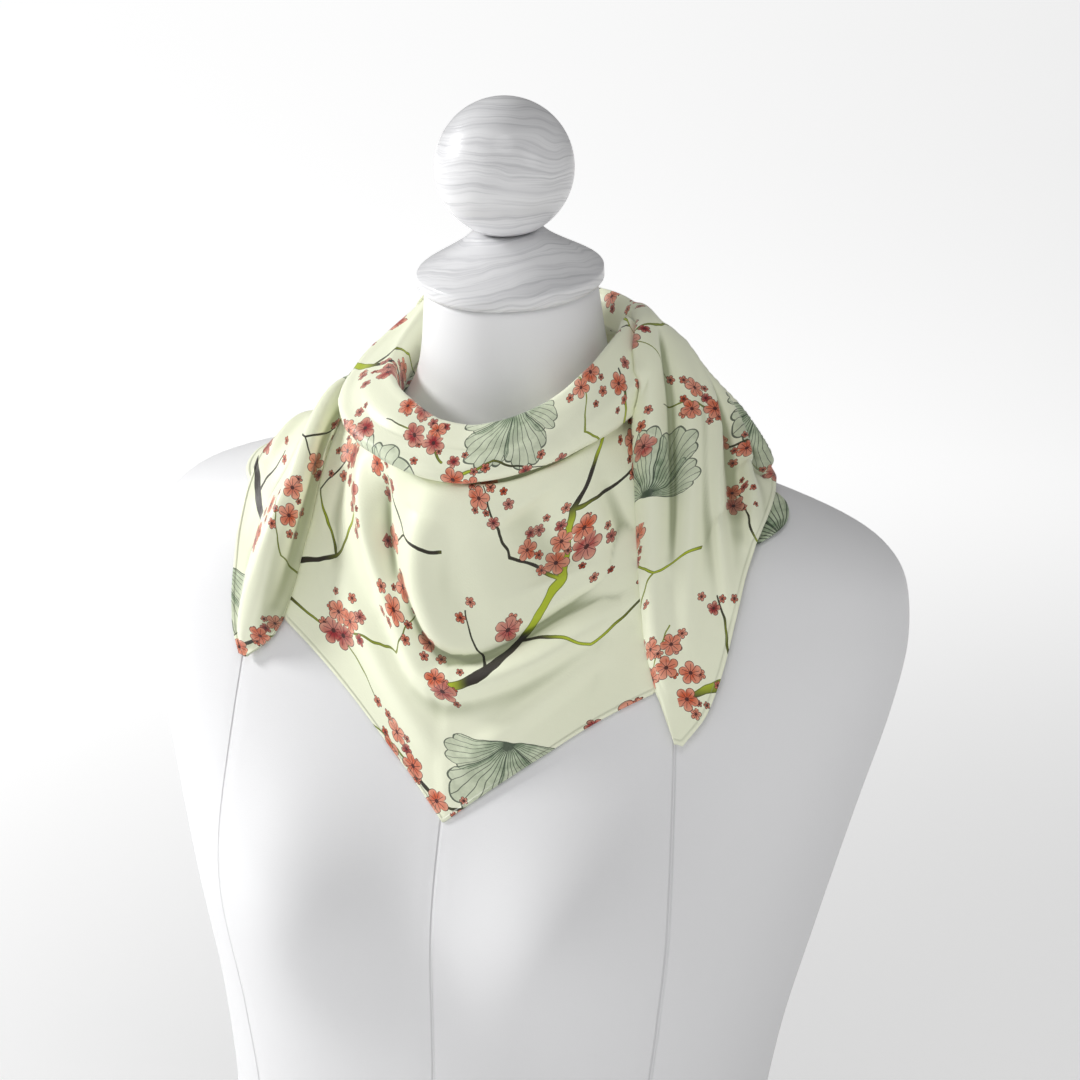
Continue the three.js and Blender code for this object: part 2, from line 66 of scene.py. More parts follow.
def make_camera():
    back = Vector((
        math.sin(VIEW_TURN) * math.cos(VIEW_RISE),
        -math.cos(VIEW_TURN) * math.cos(VIEW_RISE),
        math.sin(VIEW_RISE),
    ))
    level = Vector((math.cos(VIEW_TURN), math.sin(VIEW_TURN), 0))
    plumb = back.cross(level)
    right = level * math.cos(VIEW_ROLL) + plumb * math.sin(VIEW_ROLL)
    up = plumb * math.cos(VIEW_ROLL) - level * math.sin(VIEW_ROLL)
    across = (PICTURE / 2 - CAP_PIXEL[0]) * PIXEL
    down = (PICTURE / 2 - CAP_PIXEL[1]) * PIXEL
    aim = CAP_PLACE + right * across - up * down
    data = bpy.data.cameras.new("camera")
    data.sensor_width = SENSOR
    data.lens = SENSOR * VIEW_DISTANCE / (PIXEL * PICTURE)
    data.clip_end = 100
    camera = bpy.data.objects.new("camera", data)
    bpy.context.collection.objects.link(camera)
    turned = Matrix((right, up, back)).transposed().to_4x4()
    camera.matrix_world = Matrix.Translation(aim + back * VIEW_DISTANCE) @ turned
    bpy.context.scene.camera = camera
    print("lens", round(data.lens, 1), "mm")


make_camera()


# %% [markdown]
# Cloth lies on what is under it, so the form's skin is needed as numbers. It is the same table of
# level rings as the solid's, in millimetres: each ring is a rounded oval, and smooth cubic pieces
# join the rows. A point's place inside or outside the skin then comes from one short sum.

# %% The form as numbers
LEVEL, HALF_WIDTH, FRONT, BACK, MIDDLE, SQUARE = range(6)
FORM_ROWS = np.array([
    (0, 164, 106, 100, 4, 2.25),
    (60, 160, 105, 96, 4, 2.25),
    (130, 153, 103, 90, 4, 2.2),
    (200, 163, 106, 89, 5, 2.2),
    (270, 181, 110, 93, 8, 2.3),
    (340, 200, 107, 92, 14, 2.45),
    (400, 217, 101, 86, 20, 2.5),
    (436, 223, 97, 79, 24, 2.45),
    (464, 221, 91, 72, 26, 2.35),
    (484, 210, 83, 64, 26, 2.25),
    (497, 192, 76, 57, 25, 2.1),
    (507, 165, 70, 52, 23, 2),
    (517, 126, 63, 49, 20, 2),
    (532, 84, 57, 47, 16, 2),
    (550, 62, 52, 47, 13, 2),
    (570, 53, 49, 47, 9, 2),
    (614, 47, 47, 46, 0, 2),
], float)
BUST_SIDE, BUST_LEVEL, BUST_HEIGHT = 84, 285, 29
BUST_SPREAD = (54, 58)
NECK_MIDDLE = 8


def table_value(rows, column, at):
    """A table's column at any key, on smooth cubic pieces that never overshoot its rows."""
    rows = np.asarray(rows, float)
    key, value = rows[:, 0], rows[:, column]
    rises = np.diff(value) / np.diff(key)
    product = rises[:-1] * rises[1:]
    both = np.where(product > 0, rises[:-1] + rises[1:], 1)
    slopes = np.concatenate([rises[:1], np.where(product > 0, 2 * product / both, 0), rises[-1:]])
    at = np.clip(at, key[0], key[-1])
    low = np.clip(np.searchsorted(key, at, side="right") - 1, 0, len(key) - 2)
    span = key[low + 1] - key[low]
    t = (at - key[low]) / span
    rise = t * t * (3 - 2 * t)
    plain = value[low] * (1 - rise) + value[low + 1] * rise
    return plain + span * (slopes[low] * t * (1 - t) ** 2 - slopes[low + 1] * t * t * (1 - t))


def form_field(points):
    """0 on the form's skin, more outside it and less inside."""
    x, y, level = points[..., 0], points[..., 1], points[..., 2]
    at = [table_value(FORM_ROWS, column, level) for column in range(6)]
    ahead = at[MIDDLE] - y
    swell = ((np.abs(x) - BUST_SIDE) / BUST_SPREAD[0]) ** 2 + ((level - BUST_LEVEL) / BUST_SPREAD[1]) ** 2
    reach = np.where(ahead > 0, at[FRONT] + BUST_HEIGHT * np.exp(-swell), at[BACK])
    square = at[SQUARE]
    total = (np.abs(x) / at[HALF_WIDTH]) ** square + (np.abs(ahead) / reach) ** square
    return total ** (1 / square) - 1


def clear_of_form(points, gap):
    """Moves points straight out from the form until they clear its skin by the gap."""
    points = np.array(points, float)
    for again in range(4):
        here = form_field(points)
        uphill = np.zeros_like(points)
        for axis in range(3):
            step = np.zeros(3)
            step[axis] = 0.5
            uphill[..., axis] = form_field(points + step) - form_field(points - step)
        steep = np.maximum(np.linalg.norm(uphill, axis=-1), 1e-9)
        missing = np.maximum(gap - here / steep, 0)
        points += uphill * (missing / steep)[..., None]
    return points


def round_neck(turn, reach, level):
    """Points from a turn round the neck in degrees, a reach from its middle line and a level."""
    angle = np.radians(turn)
    return np.stack([np.sin(angle) * reach, NECK_MIDDLE - np.cos(angle) * reach, level + 0 * angle], -1)


def skin_reach(turn, level):
    """How far out the form's skin is at a turn and a level, found by halving."""
    near, far = np.zeros(len(turn)), np.full(len(turn), 260.0)
    for again in range(30):
        middle = (near + far) / 2
        inside = form_field(round_neck(turn, middle, level)) < 0
        near, far = np.where(inside, middle, near), np.where(inside, far, middle)
    return far


print("neck reach in front at level 560:", skin_reach(np.array([0.0]), np.array([560.0])).round(1))


# %% [markdown]
# A sheet of cloth is a grid of points. These helpers draw a smooth line through a few points and
# space it evenly, lift a grid into ridges and hollows, and turn a grid into a thin closed wall.
# A fold is a line on the cloth, in shares of its width and length, with a half-width in millimetres
# and a height: above 0 is a ridge, below 0 a hollow. A last number under 2 makes its crest sharper.
# Each fold dies away at its ends, as real folds do. A cloth simulation would also find folds, but not
# these ones, which are few and each in a known place. Thin silk holds little light in a hollow, so
# each point also keeps how deep it lies, and the silk's colour is darkened by it as painted shade.

# %% Grids of cloth
CLOTH = 0.8
FOLD_STEPS = 24
AVERAGING = 14


def even_line(points, count):
    """Evenly spaced points on a smooth curve through the given ones."""
    points = np.asarray(points, float)
    ends = np.concatenate([[2 * points[0] - points[1]], points, [2 * points[-1] - points[-2]]])
    t = np.linspace(0, 1, 9)[:-1, None]
    curve = []
    for a, b, c, d in zip(ends, ends[1:], ends[2:], ends[3:]):
        curve.append(b + 0.5 * t * (c - a + t * (2 * a - 5 * b + 4 * c - d + t * (3 * (b - c) + d - a))))
    curve = np.concatenate(curve + [points[-1:]])
    gone = np.concatenate([[0], np.cumsum(np.linalg.norm(np.diff(curve, axis=0), axis=1))])
    at = np.linspace(0, gone[-1], count)
    return np.stack([np.interp(at, gone, curve[:, axis]) for axis in range(3)], -1)


def grid_normals(grid, facing):
    """The cloth's outward direction. Facing is 1 where the rows run to the form's left, or else -1."""
    square = np.cross(np.gradient(grid, axis=1), np.gradient(grid, axis=0)) * facing
    return square / np.maximum(np.linalg.norm(square, axis=-1, keepdims=True), 1e-9)


def grid_quads(shape, facing):
    """The corners of a grid's squares, wound so that they face out."""
    number = np.arange(shape[0] * shape[1]).reshape(shape[:2])
    quads = np.stack([number[:-1, :-1], number[:-1, 1:], number[1:, 1:], number[1:, :-1]], -1)
    return quads.reshape(-1, 4)[:, ::facing]


def spans(grid):
    """How far each grid point is along its row and down its column, in millimetres."""
    across = np.linalg.norm(np.diff(grid, axis=0), axis=-1)
    down = np.linalg.norm(np.diff(grid, axis=1), axis=-1)
    along_across = np.concatenate([np.zeros((1, grid.shape[1])), np.cumsum(across, axis=0)])
    along_down = np.concatenate([np.zeros((grid.shape[0], 1)), np.cumsum(down, axis=1)], axis=1)
    return along_across, along_down


def fold_heights(grid, folds, first=(0, 0)):
    """Sums the folds of a grid, whose shares are counted from its first row and column."""
    rows, columns = grid.shape[:2]
    height = np.zeros((rows, columns))
    runs = (rows - 1 - first[0], columns - 1 - first[1])
    for points, half_width, lift, *crisp in folds:
        places = [grid[round(first[0] + a * runs[0]), round(first[1] + d * runs[1])] for a, d in points]
        line = even_line(places, FOLD_STEPS)
        nearest, share = np.full((rows, columns), 1e9), np.zeros((rows, columns))
        for step, (start, end) in enumerate(zip(line, line[1:])):
            run = end - start
            t = np.clip((grid - start) @ run / (run @ run), 0, 1)
            off = np.linalg.norm(grid - start - t[..., None] * run, axis=-1)
            share = np.where(off < nearest, (step + t) / (FOLD_STEPS - 1), share)
            nearest = np.minimum(off, nearest)
        fade = np.sin(np.pi * np.clip(share, 0.02, 0.98)) ** 0.5
        height += lift * fade * np.exp(-(nearest / half_width) ** (crisp[0] if crisp else 2))
    return height


def folded(grid, folds, facing, first=(0, 0)):
    """The grid with its folds laid on, each point moved straight out or in."""
    return grid + grid_normals(grid, facing) * fold_heights(grid, folds, first)[..., None]


def relaxed(grid, passes):
    """Evens out a grid a little, as the weave does, with its edges held."""
    grid = grid.copy()
    for again in range(passes):
        middle = (grid[:-2, 1:-1] + grid[2:, 1:-1] + grid[1:-1, :-2] + grid[1:-1, 2:]) / 4
        grid[1:-1, 1:-1] += 0.5 * (middle - grid[1:-1, 1:-1])
    return grid


def hollow_depth(grid, facing):
    """How deep each point lies in a fold: its drop below the cloth's own average, in millimetres."""
    average = grid
    for again in range(AVERAGING):
        average = np.pad(average, ((1, 1), (1, 1), (0, 0)), "edge")
        average = (average[:-2, 1:-1] + average[2:, 1:-1] + average[1:-1, :-2] + average[1:-1, 2:]) / 4
    depth = ((average - grid) * grid_normals(grid, facing)).sum(-1)
    depth[:, [0, 1, -2, -1]] = 0
    depth[[0, 1, -2, -1]] = 0
    return depth


def cloth_wall(name, grid, flat, edge, facing, shaded=0):
    """A closed thin wall about a grid, which keeps each point's flat place, way to the hem and painted
    shade.
    """
    quads = grid_quads(grid.shape, facing)
    mesh = bpy.data.meshes.new(name)
    mesh.from_pydata((grid.reshape(-1, 3) / 1000).tolist(), [], quads.tolist())
    flat_corners = flat.reshape(-1, 2)[quads.ravel()] / 1000
    mesh.uv_layers.new(name="flat_cloth").data.foreach_set("uv", flat_corners.ravel())
    mesh.attributes.new("edge", "FLOAT", "POINT").data.foreach_set("value", (edge / 1000).ravel())
    # Painted shade: how deep the point lies in a fold, plus any extra painted shade, kept for the silk's
    # colour
    painted_shade = hollow_depth(grid, facing) + shaded
    mesh.attributes.new("painted_shade", "FLOAT", "POINT").data.foreach_set("value", painted_shade.ravel())
    piece = bpy.data.objects.new(name, mesh)
    bpy.context.collection.objects.link(piece)
    bpy.ops.object.select_all(action="DESELECT")
    bpy.context.view_layer.objects.active = piece
    piece.select_set(True)
    wall = piece.modifiers.new("wall", "SOLIDIFY")
    wall.thickness = CLOTH / 1000
    wall.offset = 0
    wall.use_quality_normals = True
    bpy.ops.object.modifier_apply(modifier="wall")
    bpy.ops.object.shade_smooth()
    piece.select_set(False)
    along, down = (round(span.max() / 1000, 3) for span in spans(grid))
    print(name, len(piece.data.polygons), "faces, longest way across and down", along, down)
    print("  area of one side", round(sum_area(grid) / 1e6, 4), "m2")
    return piece


def sum_area(grid):
    """A grid's area, from the two diagonals of each square."""
    a, b = grid[1:, 1:] - grid[:-1, :-1], grid[1:, :-1] - grid[:-1, 1:]
    return np.linalg.norm(np.cross(a, b), axis=-1).sum() / 2


# %% [markdown]
# The front of the scarf is one sheet. Going down from the folded edge it has an inner face against the
# neck, a soft roll, an outer face that swells, a tuck where that face hangs over the drape, and then
# the drape itself down to the point. The table has a row for each direction round the neck, and the
# sheet is drawn section by section. A flat bib with a tube on top would leave a seam where silk has none.
# The last column is how far the drape is tucked back under the roll, which makes the dark crease there.
# Painted shade darkens the gap under the roll, more where the tuck is deep.

# %% The front sheet
TURN, TOP_REACH, TOP_LEVEL, CREASE_REACH, CREASE_LEVEL, HEM_LEVEL, TUCK = range(7)
FRONT_ROWS = np.array([
    (-112, 62, 601, 75, 576, 527, 4),
    (-90, 65, 581, 81, 564, 516, 8),
    (-72, 67, 571, 84, 555, 492, 12),
    (-52, 70, 565, 87, 546, 430, 13),
    (-26, 74, 557, 90, 533, 389, 11),
    (-8, 76, 549.5, 90, 524, 360, 7),
    (4, 76, 548, 89, 522, 337, 6),
    (14, 76, 550.5, 88.5, 524, 352, 5),
    (34, 74, 560, 87, 533, 381, 5),
    (56, 70, 577, 85, 546, 416, 6),
    (74, 66, 589, 81, 557, 488, 7),
    (98, 62, 598, 74, 568, 520, 5),
], float)
DRAPE_TURNS = (-95, 92)
DRAPE_CLEAR = 1.6
FRONT_ACROSS = 211
BAND_DOWN = 34
DRAPE_DOWN = 92
PRINT_REACH = 95
# Painted shade under the roll: rows it reaches, the tuck that hides one row, the tuck that is in full shade
SHADE_ROWS, ROW_TUCK, FULL_TUCK = 4.2, 3, 7.5
# Folds: points (across, down) in shares, half-width and height in millimetres
DRAPE_FOLDS = [
    ([(0.47, 0.15), (0.46, 0.25), (0.47, 0.40), (0.53, 0.54)], 11, 8),
    ([(0.64, 0.14), (0.67, 0.26), (0.70, 0.44)], 22, -11),
    ([(0.43, 0.42), (0.49, 0.54), (0.58, 0.57), (0.72, 0.56), (0.83, 0.58)], 3.4, -6),
    ([(0.40, 0.54), (0.50, 0.64), (0.64, 0.66), (0.80, 0.66)], 8, 8),
    ([(0.26, 0.18), (0.30, 0.30), (0.36, 0.44), (0.43, 0.56)], 8, 7),
    ([(0.35, 0.14), (0.37, 0.34), (0.42, 0.48)], 6, -6),
    ([(0.21, 0.30), (0.24, 0.50), (0.28, 0.68)], 6, -3),
    ([(0.80, 0.16), (0.81, 0.40), (0.79, 0.58)], 7, -4),
    ([(0.28, 0.66), (0.40, 0.77), (0.52, 0.83)], 8, 3.5),
    ([(0.54, 0.88), (0.66, 0.82), (0.78, 0.76)], 7, 3),
]
BAND_FOLDS = [
    ([(0.12, 0.60), (0.32, 0.68), (0.52, 0.72), (0.70, 0.70)], 3.2, 1.6),
    ([(0.22, 0.52), (0.40, 0.56), (0.60, 0.57), (0.76, 0.54)], 2.6, -1.3),
    ([(0.98, 0.50), (0.88, 0.60), (0.74, 0.70)], 3.2, 2.6),
    ([(0.98, 0.64), (0.88, 0.76), (0.74, 0.84)], 2.8, -2.4),
    ([(0.03, 0.48), (0.14, 0.56), (0.26, 0.66)], 3, 2.2),
]


def front_section(turn, drape_turn):
    """Control points of one section, from the inner face's lower edge down to the hem."""
    at = [float(table_value(FRONT_ROWS, column, turn)) for column in range(7)]
    top_reach, top_level = at[TOP_REACH], at[TOP_LEVEL]
    fall, spread = top_level - at[CREASE_LEVEL], at[CREASE_REACH] - top_reach
    band = [
        (top_reach - 6, top_level - 19),
        (top_reach - 4.8, top_level - 9.5),
        (top_reach - 3, top_level - 3),
        (top_reach, top_level),
        (top_reach + 3, top_level - 2),
        (top_reach + spread * 0.5 + 5, top_level - fall * 0.36),
        (top_reach + spread * 0.86 + 6, top_level - fall * 0.72),
        (at[CREASE_REACH] + 3 + at[TUCK] * 0.5, at[CREASE_LEVEL] + 3.5 - at[TUCK] * 0.3),
        (at[CREASE_REACH] + 1 + at[TUCK] * 0.5, at[CREASE_LEVEL] - at[TUCK] * 0.3),
        (at[CREASE_REACH] - at[TUCK] * 0.4, at[CREASE_LEVEL] + 0.5),
        (at[CREASE_REACH] - at[TUCK], at[CREASE_LEVEL] + at[TUCK] * 0.4),
    ]
    reach = float(table_value(FRONT_ROWS, CREASE_REACH, drape_turn))
    level = float(table_value(FRONT_ROWS, CREASE_LEVEL, drape_turn))
    head = [
        (reach - at[TUCK] + 0.5, level + at[TUCK] * 0.4 - 3),
        (reach - at[TUCK] * 0.3, level - 4),
        (reach + 7 - at[TUCK] * 0.75, level - 10 - at[TUCK] * 0.3),
    ]
    head = [round_neck(np.array(drape_turn), r, z) for r, z in head]
    hem_level = float(np.interp(drape_turn, FRONT_ROWS[:, TURN], FRONT_ROWS[:, HEM_LEVEL]))
    hem_reach = skin_reach(np.array([drape_turn]), np.array([hem_level]))[0] + DRAPE_CLEAR
    hem = round_neck(np.array(drape_turn), hem_reach, hem_level)
    band_points = [round_neck(np.array(turn), reach, level) for reach, level in band]
    return band_points, head + [head[2] + (hem - head[2]) * 0.5, hem]


def make_front():
    """The front's grid: rows run to the form's left, columns run from the inner face to the hem."""
    shares = np.linspace(0, 1, FRONT_ACROSS)
    lines = []
    for share in shares:
        turn = FRONT_ROWS[0, TURN] + share * (FRONT_ROWS[-1, TURN] - FRONT_ROWS[0, TURN])
        drape_turn = DRAPE_TURNS[0] + share * (DRAPE_TURNS[1] - DRAPE_TURNS[0])
        band, drape = front_section(turn, drape_turn)
        upper = even_line(band, BAND_DOWN)
        lower = even_line(drape, DRAPE_DOWN)
        lines.append(np.concatenate([upper, lower]))
    grid = np.array(lines)
    grid[:, BAND_DOWN:] = clear_of_form(grid[:, BAND_DOWN:], DRAPE_CLEAR)
    near = slice(BAND_DOWN - 2, BAND_DOWN + 3)
    grid[:, near] = relaxed_down(grid[:, near])
    grid[:, BAND_DOWN:] = folded(grid[:, BAND_DOWN:], DRAPE_FOLDS, 1)
    grid[:, :BAND_DOWN] = folded(grid[:, :BAND_DOWN], BAND_FOLDS, 1)
    grid[:, BAND_DOWN:] = clear_of_form(grid[:, BAND_DOWN:], DRAPE_CLEAR)
    return grid


def relaxed_down(part):
    """Softens a few columns of a grid across the crease, so that it bends there and doesn't break."""
    part = part.copy()
    part[:, 1:-1] = (part[:, :-2] + 2 * part[:, 1:-1] + part[:, 2:]) / 4
    return part


def front_flat(grid):
    """The front's place on the flat silk: round the neck on one even reach, and down its length."""
    turn = np.degrees(np.arctan2(grid[..., 0], NECK_MIDDLE - grid[..., 1]))
    across, down = spans(grid)
    return np.stack([np.radians(turn) * PRINT_REACH, -down], -1)


front_grid = make_front()
front_down = spans(front_grid)[1]
front_edge = front_down[:, -1:] - front_down


def painted_crease_shade(grid):
    """Painted shade for the gap under the front's roll, which gets less light, most where the tuck is deep.
    """
    turns = np.linspace(FRONT_ROWS[0, TURN], FRONT_ROWS[-1, TURN], len(grid))
    tuck = table_value(FRONT_ROWS, TUCK, turns)[:, None]
    steps = np.arange(grid.shape[1]) - BAND_DOWN - tuck / ROW_TUCK
    return tuck / FULL_TUCK * np.exp(-(steps / SHADE_ROWS) ** 2)


front_painted_shade = painted_crease_shade(front_grid)
print("crease shade from", round(front_painted_shade[:, BAND_DOWN].min(), 2), "to", round(front_painted_shade.max(), 2))
front = cloth_wall("front_cloth", front_grid, front_flat(front_grid), front_edge, 1, front_painted_shade)


# %% [markdown]
# The two loose ends lie over the front sheet. Each has a table with a row for every section from the
# neck to the tip: where its inner and outer edges are and how much it is rounded between them. The
# inner edge is folded under, so it reads as a soft roll. Lean moves a section's crown: below 1 it is
# nearer to the inner edge, as where the left end stands up beside the drape with its inner face in
# painted shade. The right end starts behind the neck, as the wrap round the nape, and is one sheet with it.
# What lies on another sheet is pushed out until it clears it.

# %% The loose ends
ALONG, INNER_X, INNER_Y, INNER_Z, OUTER_X, OUTER_Y, OUTER_Z, CROWN, UNDER, LEAN = range(10)
RIGHT_ROWS = np.array([
    (0, 57.4, 38, 601, 74.2, 46.9, 551, 5, 16, 0.9),
    (0.1, 68, 17, 599, 97, 54, 539, 8, 16, 0.8),
    (0.2, 73, -5, 587, 117, 52, 526, 10, 15, 0.8),
    (0.3, 79, -20, 563, 134, 40, 518, 11, 14, 0.8),
    (0.4, 85, -31, 537, 147, 18, 511, 10, 12, 0.8),
    (0.52, 93, -45, 504, 154, -12, 499, 8, 10, 0.8),
    (0.66, 102, -59, 468, 153, -38, 476, 6, 8, 0.8),
    (0.8, 111, -69, 436, 150, -56, 436, 4, 6, 0.8),
    (0.92, 121, -71, 410, 144, -66, 408, 2, 4, 0.8),
    (1, 129, -74, 391, 133, -73, 390, 0, 1, 0.8),
], float)
LEFT_ROWS = np.array([
    (0, -38, 48, 572, -44, 56, 557, 0, 4, 0.5),
    (0.12, -64, 34, 559, -80, 60, 533, 2, 6, 0.45),
    (0.24, -77, 14, 552, -106, 53, 525, 8, 8, 0.42),
    (0.36, -85, -6, 544, -121, 36, 516, 13, 9, 0.45),
    (0.5, -89, -34, 514, -131, 6, 508, 20, 9, 0.45),
    (0.64, -92, -54, 474, -134, -26, 487, 27, 8, 0.6),
    (0.78, -97, -65, 440, -134, -49, 450, 24, 6, 0.8),
    (0.9, -106, -70, 420, -132, -62, 424, 13, 4, 1.2),
    (1, -122, -70, 407, -126, -69, 408, 1, 1, 2),
], float)
WRAP_TURN, WRAP_TOP_REACH, WRAP_TOP, WRAP_FOOT_REACH, WRAP_FOOT, WRAP_SWELL = range(6)
WRAP_ROWS = np.array([
    (118.8, 65, 601, 84, 551, 5),
    (150, 62, 604, 78, 548, 5),
    (180, 60, 605, 76, 547, 4),
    (215, 60, 604, 82, 549, 4),
    (247.2, 62, 601, 77, 572, 5),
], float)
# How far the ends stay from the form and from the front sheet, on top and where they are turned under
END_CLEAR, UNDER_CLEAR = 4.2, 2.0
LAYER_GAP, UNDER_GAP = 2.4, 1.2
# The left end's crown leans out to this side from this share of its length on
LEFT_PROUD = (0.6, -1.3, -0.3)
PROUD_START, PROUD_RUN = 0.3, 0.25
ROLL, ROLL_SHARE = 3.6, 0.12
SEARCH, BESIDE = 24, 2.5
# Painted shade on the left end's inner face: its turn to the side and its share of the length, from none to
# full, and its depth
SHADE_TURN, SHADE_ALONG, SHADE_DEPTH = (0.1, 0.6), (0.1, 0.3), 1.3
UNDER_STEPS = 12
OVER_STEPS = 60
END_STEPS = 150
WRAP_STEPS = 90
# Folds of the ends: points (along, across) in shares of what lies past the nape
RIGHT_FOLDS = [
    ([(0.00, 0.08), (0.26, 0.10), (0.47, 0.12), (0.72, 0.14), (0.92, 0.18)], 6, 5),
    ([(0.14, 0.16), (0.22, 0.20), (0.31, 0.24), (0.47, 0.27), (0.62, 0.30)], 3, -8, 1.6),
    ([(0.02, 0.28), (0.20, 0.33), (0.40, 0.38), (0.62, 0.46), (0.86, 0.56)], 7, 5),
    ([(0.12, 0.38), (0.30, 0.46), (0.45, 0.53), (0.58, 0.68), (0.72, 0.90)], 4, 12, 1.5),
    ([(0.14, 0.50), (0.30, 0.62), (0.40, 0.71), (0.50, 0.84), (0.60, 0.96)], 3.6, 13, 1.5),
    ([(0.10, 0.62), (0.24, 0.78), (0.31, 0.91), (0.42, 0.99)], 4, 12, 1.5),
]
LEFT_FOLDS = [
    ([(0.16, 0.16), (0.36, 0.20), (0.50, 0.28), (0.64, 0.36), (0.80, 0.48), (0.92, 0.6)], 3.5, 3, 1.4),
    ([(0.20, 0.46), (0.40, 0.50), (0.52, 0.62), (0.64, 0.74), (0.76, 0.84)], 3.5, -4),
    ([(0.16, 0.66), (0.36, 0.70), (0.48, 0.80), (0.58, 0.92)], 4.5, 5),
    ([(0.30, 0.04), (0.46, 0.10), (0.62, 0.14), (0.80, 0.18)], 3, -3),
]
# Folds of the wrap: points (along, across) in shares of the whole sash
WRAP_FOLDS = [
    ([(0.02, 0.42), (0.14, 0.62), (0.28, 0.52), (0.42, 0.34)], 4.5, 5),
    ([(0.02, 0.24), (0.16, 0.36), (0.32, 0.30), (0.42, 0.20)], 3.5, -3),
    ([(0.04, 0.92), (0.20, 0.82), (0.36, 0.60), (0.47, 0.50)], 4, 5),
    ([(0.08, 0.70), (0.22, 0.70), (0.36, 0.47)], 3.5, -4),
]


def end_section(rows, along, proud):
    """One section of a loose end: the edge turned under, then the face out to the outer edge."""
    at = [float(table_value(rows, column, along)) for column in range(10)]
    inner, outer = np.array(at[INNER_X:OUTER_X]), np.array(at[OUTER_X:CROWN])
    wide = max(np.linalg.norm(outer - inner), 1e-6)
    turned = min(at[UNDER], wide * 0.6) / wide
    away = (inner + outer) / 2 - np.array([0, NECK_MIDDLE, 0])
    away[2] = 0.8 * np.linalg.norm(away[:2])
    away = away / np.linalg.norm(away) + np.array(proud) * np.clip((along - PROUD_START) / PROUD_RUN, 0, 1)
    away /= np.linalg.norm(away)
    roll = min(ROLL, wide * ROLL_SHARE)
    under = [inner + (outer - inner) * turned * s - away * roll for s in (1, 0.6, 0.22)]
    upper = [inner]
    for share in (0.04, 0.12, 0.26, 0.42, 0.6, 0.8, 1):
        lift = at[CROWN] * math.sin(math.pi * share ** at[LEAN]) + roll * (1 - share)
        upper.append(inner + (outer - inner) * share + away * lift)
    upper = even_line(upper, OVER_STEPS)
    return np.concatenate([even_line(under + [inner], UNDER_STEPS)[:-1], upper])


def wrap_section(turn):
    """One section of the wrap behind the neck, with as many points as an end's."""
    at = [float(table_value(WRAP_ROWS, column, turn)) for column in range(6)]
    reach, top = at[WRAP_TOP_REACH], at[WRAP_TOP]
    middle = ((reach + at[WRAP_FOOT_REACH]) / 2 + at[WRAP_SWELL], (top + at[WRAP_FOOT]) / 2)
    under = [(reach - 6, top - 19), (reach - 4.8, top - 9.5), (reach - 3, top - 3), (reach, top)]
    upper = [(reach, top), (reach + 3, top - 2), middle, (at[WRAP_FOOT_REACH], at[WRAP_FOOT])]
    sides = [[round_neck(np.array(turn), r, level) for r, level in path] for path in (under, upper)]
    return np.concatenate([even_line(sides[0], UNDER_STEPS)[:-1], even_line(sides[1], OVER_STEPS)])


def clear_of_sheet(grid, under, gap):
    """Pushes a grid's points out until they clear the outer side of the sheet under them."""
    corners = [Vector(p) for p in under.reshape(-1, 3)]
    tree = BVHTree.FromPolygons(corners, grid_quads(under.shape, 1).tolist())
    moved = grid.copy()
    for index in np.ndindex(grid.shape[:2]):
        point = Vector(moved[index])
        place, square, face, distance = tree.find_nearest(point, SEARCH)
        if place is None:
            continue
        off = point - place
        height = off.dot(square)
        beside = (off - square * height).length
        if height < gap and beside < BESIDE:
            moved[index] = place + square * gap
    return moved


def make_end(rows, folds, first, proud, facing):
    """A loose end's grid, after the sections that come before it, folded and clear of what is under it."""
    lines = first + [end_section(rows, along, proud) for along in np.linspace(0, 1, END_STEPS)]
    grid = np.array(lines)
    grid = relaxed(grid, 6)
    clears = np.full(grid.shape[:2], END_CLEAR)
    clears[:, :UNDER_STEPS] = UNDER_CLEAR
    gaps = np.full(grid.shape[:2], LAYER_GAP)
    gaps[:, :UNDER_STEPS] = UNDER_GAP
    grid = clear_of_form(grid, clears)
    grid = push_over(grid, gaps)
    if len(first):
        grid = folded(grid, WRAP_FOLDS, facing, (0, UNDER_STEPS - 1))
    grid = folded(grid, folds, facing, (len(first), UNDER_STEPS - 1))
    for again in range(2):
        grid = clear_of_form(grid, clears)
        grid = push_over(grid, gaps)
        grid = relaxed(grid, 2)
    return grid


def push_over(grid, gaps):
    """Lifts an end off the front sheet, its part turned under by less than its upper part."""
    low = clear_of_sheet(grid[:, :UNDER_STEPS], front_grid, gaps[0, 0])
    high = clear_of_sheet(grid[:, UNDER_STEPS:], front_grid, gaps[0, -1])
    return np.concatenate([low, high], axis=1)


def end_flat(grid):
    """An end's place on the flat silk, measured from the line along its middle."""
    across, down = spans(grid)
    middle = [UNDER_STEPS + OVER_STEPS // 2]
    return np.stack([down - down[:, middle], -across[:, middle] + 0 * down], -1)


def end_edge(grid):
    """How far each point is from the hem, along the outer edge and at the tip."""
    across, down = spans(grid)
    return np.minimum(down[:, -1:] - down, across[-1:] - across)


def painted_inner_shade(grid):
    """The painted shade on the left end's inner face, by how far the cloth is turned to the form's left."""
    turned = grid_normals(grid, 1)[..., 0]
    along = np.linspace(0, 1, len(grid))[:, None]
    return SHADE_DEPTH * np.interp(turned, SHADE_TURN, (0, 1)) * np.interp(along, SHADE_ALONG, (0, 1))


